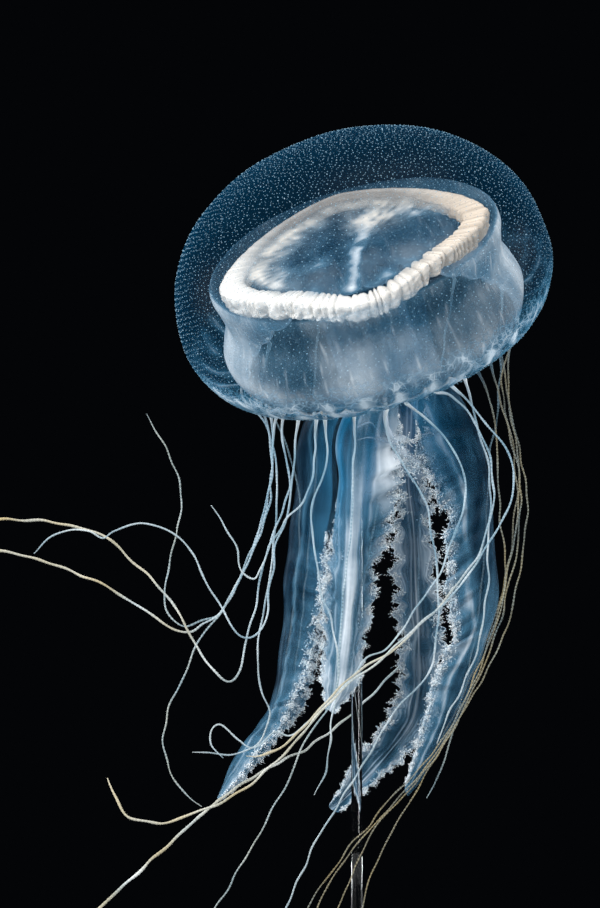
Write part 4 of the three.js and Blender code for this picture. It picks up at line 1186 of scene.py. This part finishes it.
# tentacles: threads from the margin, thinning to the tip, ringed with stinging cells. "round" is
# degrees round the bell; route is across and up, depth is front to back from the margin to the
# tip, all in millimetres
tentacleRoutes = [
    {
        "round": 197, "lengths": 2, "depth": [-12, -9],
        "route": [
            (-38, 230), (-36, 212), (-40, 191), (-49, 168), (-56, 156), (-63, 152), (-71, 150),
            (-77, 154), (-79, 161), (-77, 174), (-74, 188), (-72, 200), (-76, 216), (-86, 234),
        ],
    },
    {
        "round": 205, "lengths": 2, "depth": [-18, -14],
        "route": [
            (-36, 230), (-36, 212), (-40, 192), (-45, 178), (-50, 167), (-56, 156), (-63, 151),
            (-69, 147), (-79, 151), (-101, 165), (-125, 175), (-145, 180), (-157, 182),
        ],
    },
    {
        "round": 213, "lengths": 2, "depth": [-23, -20],
        "route": [
            (-35, 230), (-36, 212), (-38, 194), (-44, 179), (-49, 168), (-56, 156), (-65, 144),
            (-72, 128), (-78, 114), (-79, 102), (-74, 87), (-64, 78),
        ],
    },
    {
        "round": 215, "lengths": 2, "depth": [-29, -27],
        "route": [
            (-32, 225), (-29, 209), (-31, 198), (-36, 185), (-40, 172), (-42, 160), (-46, 145),
            (-49, 132), (-53, 128), (-59, 132), (-66, 142), (-73, 155), (-82, 167), (-93, 177),
            (-101, 185), (-113, 189), (-129, 192), (-157, 192),
        ],
    },
    {
        "round": 224, "lengths": 2, "depth": [-34, -30],
        "route": [
            (-27, 220), (-28, 205), (-31, 191), (-35, 179), (-37, 162), (-39, 151), (-43, 146.5),
            (-48, 146), (-52, 150), (-58, 161), (-64, 171), (-68, 180), (-74, 186), (-87, 191),
            (-98, 188), (-103, 185), (-109, 187.5), (-116, 188.5), (-124, 185), (-131, 179),
        ],
    },
    {
        "round": 233, "lengths": 1, "depth": [-41, -37],
        "route": [
            (-19, 221), (-20, 208), (-25, 198), (-31, 191), (-37, 182), (-40, 173), (-43, 169),
            (-48, 172), (-50, 181), (-56, 192), (-60, 198),
        ],
    },
    {
        "round": 237, "lengths": 2, "depth": [-38, -28],
        "route": [
            (-14, 218), (-16, 209), (-20, 198), (-20, 188), (-18, 174), (-16, 162), (-12, 151),
            (-10, 138), (-10, 124), (-12, 115), (-13, 104), (-14, 94), (-19, 83),
        ],
    },
    {
        "round": 250, "lengths": 2, "depth": [-43, -34],
        "route": [
            (-3, 224), (-4, 210), (-4, 196), (-6, 176), (-8, 160), (-9, 140), (-12, 120),
            (-21, 108), (-29, 90), (-43, 64), (-63, 30),
        ],
    },
    {
        "round": 264, "lengths": 2, "depth": [-27, -22],
        "route": [
            (9, 230), (13, 219), (19, 210), (25, 199), (28, 184), (30, 168), (30, 152), (28, 136),
            (22, 125), (14, 118), (7, 106), (-7, 83), (-18, 65), (-28, 43), (-33, 31),
        ],
    },
    {
        "round": 272, "lengths": 2, "depth": [-49, -44],
        "route": [
            (23, 234), (31, 227), (37, 218), (41, 206), (40, 197), (36, 186), (31, 172), (23, 160),
            (15, 148), (9, 141), (1, 137), (-5, 129), (-15, 119), (-24, 110), (-29, 107),
            (-35, 108), (-43, 102), (-49, 105), (-56, 111), (-60, 109), (-60, 103), (-55, 98),
        ],
    },
    {
        "round": 285, "lengths": 2, "depth": [-54, -50],
        "route": [
            (36, 241), (45, 230), (50, 218), (52, 204), (50, 191), (46, 179), (39, 169), (31, 159),
            (21, 149), (11, 140), (-1, 133), (-11, 124), (-19, 115), (-29, 105), (-39, 99),
            (-46, 99),
        ],
    },
    {
        "round": 292, "lengths": 2, "depth": [-59, -47],
        "route": [
            (42, 239), (51, 228), (57, 220), (60, 210), (58, 198), (51, 185), (44, 174), (34, 161),
            (21, 150), (7, 137), (-5, 128), (-17, 116), (-29, 102), (-43, 89), (-55, 81), (-65, 77),
            (-81, 72), (-92, 75), (-98, 82), (-101, 90),
        ],
    },
    {
        "round": 299, "lengths": 1, "depth": [-25, -20],
        "route": [
            (43, 240), (46, 228), (50, 214), (51, 200), (50, 184), (50, 168), (48, 152), (45, 138),
            (39, 124), (33, 112), (30, 103),
        ],
    },
    {
        "round": 306, "lengths": 2, "depth": [-16, -14],
        "route": [
            (50, 242), (53, 228), (54, 210), (55, 192), (57, 176), (56, 160), (51, 144), (43, 124),
            (33, 106), (23, 93), (14, 84), (3, 71), (-7, 59), (-17, 45), (-26, 31),
        ],
    },
    {
        "round": 314, "lengths": 2, "depth": [-23, -20],
        "route": [
            (54, 243), (58, 228), (62, 212), (62, 196), (59, 177), (54, 155), (48, 138), (40, 119),
            (30, 100), (16, 83), (4, 70), (-6, 58), (-14, 46), (-18, 37), (-20, 29),
        ],
    },
    {
        "round": 322, "lengths": 2, "depth": [-10, -9],
        "route": [
            (57, 248), (59, 234), (62, 218), (63, 200), (62, 182), (58, 164), (53, 145), (45, 126),
            (35, 106), (23, 89), (11, 76), (3, 66), (-4, 50), (-10, 37), (-14, 28),
        ],
    },
    {
        "round": 333, "lengths": 2, "depth": [-4, -4],
        "route": [
            (58, 248), (60, 232), (64, 214), (66, 198), (64, 178), (60, 157), (55, 142), (45, 123),
            (33, 103), (20, 81), (9, 62), (2, 45), (-2, 28),
        ],
    },
    {
        "round": 345, "lengths": 1, "depth": [17, 15],
        "route": [
            (56, 250), (57, 238), (60, 224), (62, 208), (61, 190), (58, 170), (53, 152), (46, 134),
            (38, 116), (31, 102),
        ],
    },
    {
        "round": 20, "lengths": 1, "depth": [27, 21],
        "route": [
            (55, 240), (52, 220), (50, 192), (48, 164), (44, 136), (38, 112), (32, 92), (26, 80),
        ],
    },
    {
        "round": 50, "lengths": 2, "depth": [54, 54, 46, 24, 4, -10],
        "route": [
            (31, 248), (26, 220), (24, 192), (23, 164), (22, 144), (16, 134), (6, 123), (-7, 111),
            (-22, 100), (-36, 93), (-51, 84), (-63, 75), (-83, 57), (-105, 37), (-115, 28),
        ],
    },
    {
        "round": 80, "lengths": 1, "depth": [58, 52],
        "route": [
            (12, 260), (10, 220), (5, 188), (0, 160), (-4, 136), (-7, 118),
        ],
    },
    {
        "round": 110, "lengths": 1, "depth": [57, 51],
        "route": [
            (-19, 248), (-18, 216), (-21, 184), (-24, 152), (-28, 124), (-33, 106),
        ],
    },
    {
        "round": 140, "lengths": 1, "depth": [52, 50, 46],
        "route": [
            (-40, 244), (-31, 224), (-25, 200), (-26, 172), (-29, 144), (-34, 120), (-40, 102),
            (-47, 89),
        ],
    },
    {
        "round": 165, "lengths": 2, "depth": [16, 14],
        "route": [
            (-48, 242), (-38, 229), (-34, 208), (-36, 176), (-40, 152), (-42, 138), (-40, 123),
            (-37, 113), (-42, 102), (-52, 98), (-68, 99),
        ],
    },
]
tentacleValues = {
    "rootRadius": 0.85, "rootReach": 4.0,  # the swelling at the root, and how fast it ends
    "rootIn": 1, "rootBelow": 1.4,  # where the path starts, from the margin's line
    "stub": 2.2, "stubLean": 0.05, "stubShare": 0.5,  # the end that goes up into the margin
    "sides": 8, "step": 0.30, "samples": 60,
    # the seed that each thread and each of its noises counts on from; a thread wobbles three ways
    "seed": 100, "ownSeeds": {"wobble": (0, 40, 80), "rings": 0, "uneven": 7, "milk": 9, "tint": 3},
    "wobble": 0.35, "wobbleLength": 17, "wobbleFrom": (0, 12),  # mm off the smooth line
    "ringEvery": 1.45, "ringDrift": (0.8, 6), "ringFrom": (4, 30), "ringHeight": 0.6,
    "thinning": (0.2, 1.0), "uneven": (0.14, 11), "tipLength": 9, "tipThinner": 0.55,
    "milkFade": (0.15, 0.6), "milkUneven": (0.10, 25), "rootMilk": 1.2, "rootMilkReach": 4,
    "tintFade": (0.2, 0.85), "tintUneven": (0.85, 0.3, 30),
}
# the kinds of thread: radius, tint and whiteness, at the root and at the tip, and how ringed
threadKinds = {
    "pale": {"radius": (0.37, 0.32), "tint": (0.0, 0.15), "milk": (0.44, 0.56), "rings": 0.05},
    "fine": {"radius": (0.36, 0.28), "tint": (0.0, 0.35), "milk": (0.44, 0.46), "rings": 0.10},
    "straw": {"radius": (0.37, 0.47), "tint": (0.0, 0.72), "milk": (0.44, 0.66), "rings": 0.07},
    "gold": {"radius": (0.30, 0.25), "tint": (0.50, 0.70), "milk": (0.08, 0.08), "rings": 0.15},
    # the far kinds are darker copies of fine and straw for the threads behind the bell: painted shade
    "far": {"radius": (0.34, 0.29), "tint": (0.1, 0.3), "milk": (0.14, 0.26), "rings": 0.08},
    "farStraw": {"radius": (0.36, 0.56), "tint": (0.0, 0.55), "milk": (0.16, 0.62), "rings": 0.07},
}
threadKindOf = [
    "fine", "straw", "fine", "straw", "pale", "pale", "pale", "fine",
    "pale", "pale", "straw", "straw", "pale", "gold", "gold", "gold",
    "gold", "gold", "far", "farStraw", "far", "far", "far", "pale",
]


def tentaclePath(one, values):
    # the root is on the margin; each place then takes its depth from the smooth list of depths.
    # Gives the path in even steps and how far each is from the root
    angle = math.radians(one["round"])
    radius = bellShape["marginRadius"] - values["rootIn"]
    root = bellPlace(angle, radius, -bellShape["marginDrop"] - values["rootBelow"])
    across, up = np.array(one["route"], float).T
    share = (np.arange(len(up)) + 1) / len(up)
    depth = alongLine([root[1], *one["depth"]], share)
    points = np.concatenate([root[None], stacked(across, depth, up)])
    rough = alongLine(points, np.linspace(0, 1, values["samples"] * len(points)))
    walked = np.concatenate([[0], np.cumsum(np.linalg.norm(np.diff(rough, axis=0), axis=1))])
    even = np.linspace(0, walked[-1], int(walked[-1] / values["step"]))
    path = np.stack([np.interp(even, walked, rough[:, k]) for k in range(3)], -1)
    return path, even


def makeTentacle(number, one, kind, values):
    # rings square to the path; the radius runs from body to tip, with a swollen root, and the rings
    # of stinging cells are a ripple on it
    path, walked = tentaclePath(one, values)
    seed = values["seed"] + number
    own = values["ownSeeds"]
    wobble = [wander(walked[:, None], values["wobbleLength"], seed + way) for way in own["wobble"]]
    grown = smoothStep(*values["wobbleFrom"], walked)
    path = path + values["wobble"] * np.stack(wobble, -1) * grown[:, None]
    angle, aside = math.radians(one["round"]), values["stubLean"]
    upward = lean @ np.array([math.cos(angle) * aside, math.sin(angle) * aside, 1.0])
    path = np.concatenate([path[:1] + upward * values["stub"], path])
    walked = np.concatenate([[-values["stub"]], walked])
    share, fromRoot = np.clip(walked / walked[-1], 0, 1), np.clip(walked, 0, None)

    def noise(length, part):
        return wander(walked[:, None], length, seed + own[part])

    drift, length = values["ringDrift"]
    ripple = np.sin(walked / values["ringEvery"] * 2 * np.pi + drift * noise(length, "rings"))
    ripple = ripple * smoothStep(*values["ringFrom"], walked)
    body, tip = kind["radius"]
    radius = body + (tip - body) * smoothStep(*values["thinning"], share)
    radius = radius + (values["rootRadius"] - body) * np.exp(-fromRoot / values["rootReach"])
    radius = radius * (1 + values["ringHeight"] * kind["rings"] * ripple)
    strength, length = values["uneven"]
    radius = radius * (1 + strength * noise(length, "uneven"))
    radius = radius * (1 - values["tipThinner"] * smoothStep(-values["tipLength"], 0, walked - walked[-1]))
    radius[0] *= values["stubShare"]

    upper, lower = kind["milk"]
    strength, length = values["milkUneven"]
    milk = upper + (lower - upper) * smoothStep(*values["milkFade"], share)
    milk = milk + kind["rings"] * ripple + strength * noise(length, "milk")
    milk = milk + values["rootMilk"] * upper * np.exp(-fromRoot / values["rootMilkReach"])
    upper, lower = kind["tint"]
    even, rest, length = values["tintUneven"]
    tint = upper + (lower - upper) * smoothStep(*values["tintFade"], share)
    tint = tint * (even + rest * noise(length, "tint")) * smoothStep(*values["wobbleFrom"], walked)
    name = f"tentacle_{number:02d}"
    nodes = [name] if one["lengths"] == 1 else [name + "_upper", name + "_lower"]
    thread = tubeShape(path, radius, values["sides"], milk, tint)
    makePiece(f"thread{number:02d}", thread, [threadSkin], nodes)


for order, oneRoute in enumerate(tentacleRoutes):
    makeTentacle(order + 1, oneRoute, threadKinds[threadKindOf[order]], tentacleValues)


# margin: a knob where each thread leaves, and the eight sense bodies between lappets. Each kind's
# place is out from and above the margin's line
knobValues = {
    "knobAt": (-0.6, 0.6), "knobRadius": (0.9, 1.4), "knobHeight": 1.15, "knobMilk": 0.75,
    "senseAt": (0.2, 1.4), "senseRadius": 0.75, "senseHeight": 1.5, "senseMilk": 0.9, "senseTint": 0.6,
    "senses": 8, "firstSense": 12,  # degrees round the bell
}


def makeMarginKnobs(values):
    def marginPlace(angle, at):
        return bellPlace(angle, bellShape["marginRadius"] + at[0], -bellShape["marginDrop"] + at[1])

    angles = np.radians([one["round"] for one in tentacleRoutes])
    count, senses = len(angles), values["senses"]
    down = np.tile(lean @ np.array([0, 0, -1.0]), (count, 1))
    size = dice.uniform(*values["knobRadius"], count)
    knobs = beadShape(marginPlace(angles, values["knobAt"]), size, beadTemplate(), down,
                      values["knobHeight"], values["knobMilk"])
    angles = np.radians(np.arange(senses) * 360 / senses + values["firstSense"])
    places, size = marginPlace(angles, values["senseAt"]), np.full(senses, values["senseRadius"])
    bodies = beadShape(places, size, beadTemplate(), down[:senses], values["senseHeight"],
                       values["senseMilk"], values["senseTint"])
    piece = makePiece("marginKnobs", joined([knobs, bodies]), [wart])
    smooth = piece.modifiers.new("round", "SUBSURF")
    smooth.levels = smooth.render_levels = 2


makeMarginKnobs(knobValues)


# the display stand: a round base and a clear rod that goes up into the stalk
standValues = {
    "baseRadius": 75.0, "baseHeight": 12.0, "edge": 2.0, "edgeSteps": 9,
    "foot": [(-0.6, 0), (-0.15, 0.15), (0, 0.6)],  # the small bevel below, out from the radius
    "inner": (1.0, 40),  # radii of the rings that keep the flat faces' shading even
    "rodRadius": 2.2, "tipRadius": 3.4, "tipSteps": 24, "tipEnd": 0.05,  # the ball's last angle
    "rodAt": (-2.0, 16.0), "rodRings": (60, 150), "sides": 128, "rodSides": 40,
}


def lathed(profile, sides, centre):
    # each (radius, height) of the profile swept once round the upright axis
    angle = np.linspace(0, 2 * np.pi, sides, endpoint=False)[None, :]
    profile = np.asarray(profile, float)
    r, z = profile[:, :1], profile[:, 1:2]
    return stacked(centre[0] + r * np.cos(angle), centre[1] + r * np.sin(angle), z)


def makeStand(values):
    # the base is a flat disc with a round upper edge, and the rod ends in a ball
    top, wide, edge = values["baseHeight"], values["baseRadius"], values["edge"]
    hub, ring = values["inner"]
    foot = [(wide + outwards, height) for outwards, height in values["foot"]]
    arc = np.linspace(0, np.pi / 2, values["edgeSteps"])
    rim = [(wide - edge + edge * math.cos(a), top - edge + edge * math.sin(a)) for a in arc]
    profile = [(hub, 0), (ring, 0), *foot, *rim, (ring, top), (hub, top)]
    base = ringShape(lathed(profile, values["sides"], (0, 0)))
    makePiece("standBase", base, [lacquer], ["stand_base"])
    low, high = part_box("stand_rod")
    reach, tip = values["rodRadius"], values["tipRadius"]
    centre = high.z / mm - tip
    arc = np.linspace(math.pi - math.asin(reach / tip), values["tipEnd"], values["tipSteps"])
    ball = [(tip * math.sin(a), centre + tip * math.cos(a)) for a in arc]
    rings = [(reach, height) for height in (low.z / mm, *values["rodRings"])]
    rod = ringShape(lathed([*rings, *ball], values["rodSides"], values["rodAt"]))
    makePiece("standRod", rod, [acrylic], ["stand_rod"])


def makeAcrylic():
    # cast acrylic rod: clear and polished, with faint long draw marks
    material, tree, shader = startMaterial("polished acrylic", {
        "Base Color": toLinear("#f4f8fa"), "Transmission Weight": 1.0, "IOR": 1.49, "Roughness": 0.04,
    })
    coordinates = addNode(tree, "ShaderNodeTexCoord").outputs["Object"]
    drawn = addNode(tree, "ShaderNodeMapping", links={
        "Vector": coordinates, "Scale": (900, 900, 9),  # per metre: 1.1 mm wide and 110 mm long
    })
    marks = addNode(tree, "ShaderNodeTexNoise", links={"Vector": drawn, "Scale": 1.0})
    bump = addNode(tree, "ShaderNodeBump", links={
        "Height": marks, "Strength": 0.05, "Distance": 0.0002,
    })
    fillSockets(tree, shader, {"Normal": bump})
    return material


def makeLacquer():
    # black lacquered beech: the grain, drawn coarser than it is so that it shows, under a clear coat
    material, tree, shader = startMaterial("black lacquered beech", {
        "Roughness": 0.5, "Specular IOR Level": 0.25, "Coat Weight": 0.15, "Coat Roughness": 0.35,
    })
    coordinates = addNode(tree, "ShaderNodeTexCoord").outputs["Object"]
    stretched = addNode(tree, "ShaderNodeMapping", links={
        "Vector": coordinates, "Scale": (40, 480, 480),  # per metre: 25 mm long and 2.1 mm wide
    })
    grain = addNode(tree, "ShaderNodeTexNoise", links={
        "Vector": stretched, "Scale": 1.0, "Detail": 4.0, "Distortion": 0.6,
    })
    colour = addNode(tree, "ShaderNodeMix", {"data_type": "RGBA"}, {
        0: grain, 6: toLinear("#15171a"), 7: toLinear("#2b2e31"),
    }).outputs[2]
    bump = addNode(tree, "ShaderNodeBump", links={
        "Height": grain, "Strength": 0.12, "Distance": 0.0003,
    })
    fillSockets(tree, shader, {"Base Color": colour, "Normal": bump})
    return material


acrylic, lacquer = makeAcrylic(), makeLacquer()
makeStand(standValues)


# a plain floor and soft lamps, each with its place and the side of its square in metres and its
# power in watts
studio = {
    "floorRadius": 0.8, "floorSides": 96, "floor": "#9b9ea0", "dark": "#040507",
    "lamps": {
        "keyLeft": ((-1.1, -1.5, 1.0), 0.9, 48),
        "fillRight": ((1.4, -1.4, 0.5), 1.0, 22),
        "rimLeft": ((-1.7, 0.35, 0.6), 0.9, 32),
        "rimRight": ((1.7, 0.45, 0.7), 0.9, 24),
        "overhead": ((0.0, 0.1, 1.7), 1.0, 26),
    },
    "lookAt": (0.0, 0.0, 0.24),
    "clearLayers": 40,  # how many see-through layers a ray may cross
}


def makeStudio(values):
    count = values["floorSides"]
    turn = np.linspace(0, 2 * np.pi, count, endpoint=False)
    disc = stacked(np.cos(turn), np.sin(turn), 0) * values["floorRadius"]
    mesh = bpy.data.meshes.new("floor")
    mesh.from_pydata(disc.tolist(), [], [list(range(count))])
    floor = bpy.data.objects.new("floor", mesh)
    scene.collection.objects.link(floor)
    matt, _, _ = startMaterial("matt paint", {"Base Color": toLinear(values["floor"]), "Roughness": 0.9})
    mesh.materials.append(matt)
    for name, (place, side, power) in values["lamps"].items():
        lamp = bpy.data.lights.new(name, "AREA")
        lamp.size, lamp.energy = side, power
        holder = bpy.data.objects.new(name, lamp)
        holder.location = place
        aim = np.array(values["lookAt"]) - np.array(place)
        flat = math.hypot(aim[0], aim[1])
        holder.rotation_euler = (math.atan2(flat, -aim[2]), 0, math.atan2(-aim[0], aim[1]))
        holder.visible_camera = False
        scene.collection.objects.link(holder)
    world = bpy.data.worlds.new("dark room")
    world.use_nodes = True
    world.node_tree.nodes["Background"].inputs[0].default_value = toLinear(values["dark"])
    scene.world = world
    scene.view_settings.view_transform = "Standard"
    scene.cycles.transparent_max_bounces = values["clearLayers"]


# the camera, in metres: level, 5 m off, and seeing "tall" from top to bottom at that distance,
# which is 908 pixels of 0.4 mm. The film is in millimetres
cameraValues = {
    "distance": 5.0, "across": -0.0248, "height": 0.2184, "tall": 908 * 0.4 * mm, "film": 24.0,
    "farthest": 50,
}


def makeCamera(values):
    camera = bpy.data.cameras.new("camera")
    camera.sensor_fit = "VERTICAL"
    camera.sensor_height = values["film"]
    camera.lens = values["film"] * values["distance"] / values["tall"]
    camera.clip_end = values["farthest"]
    holder = bpy.data.objects.new("camera", camera)
    holder.location = (values["across"], -values["distance"], values["height"])
    holder.rotation_euler = (math.pi / 2, 0, 0)
    scene.collection.objects.link(holder)
    scene.camera = holder


makeStudio(studio)
makeCamera(cameraValues)
print("floor, lamps and camera ready")
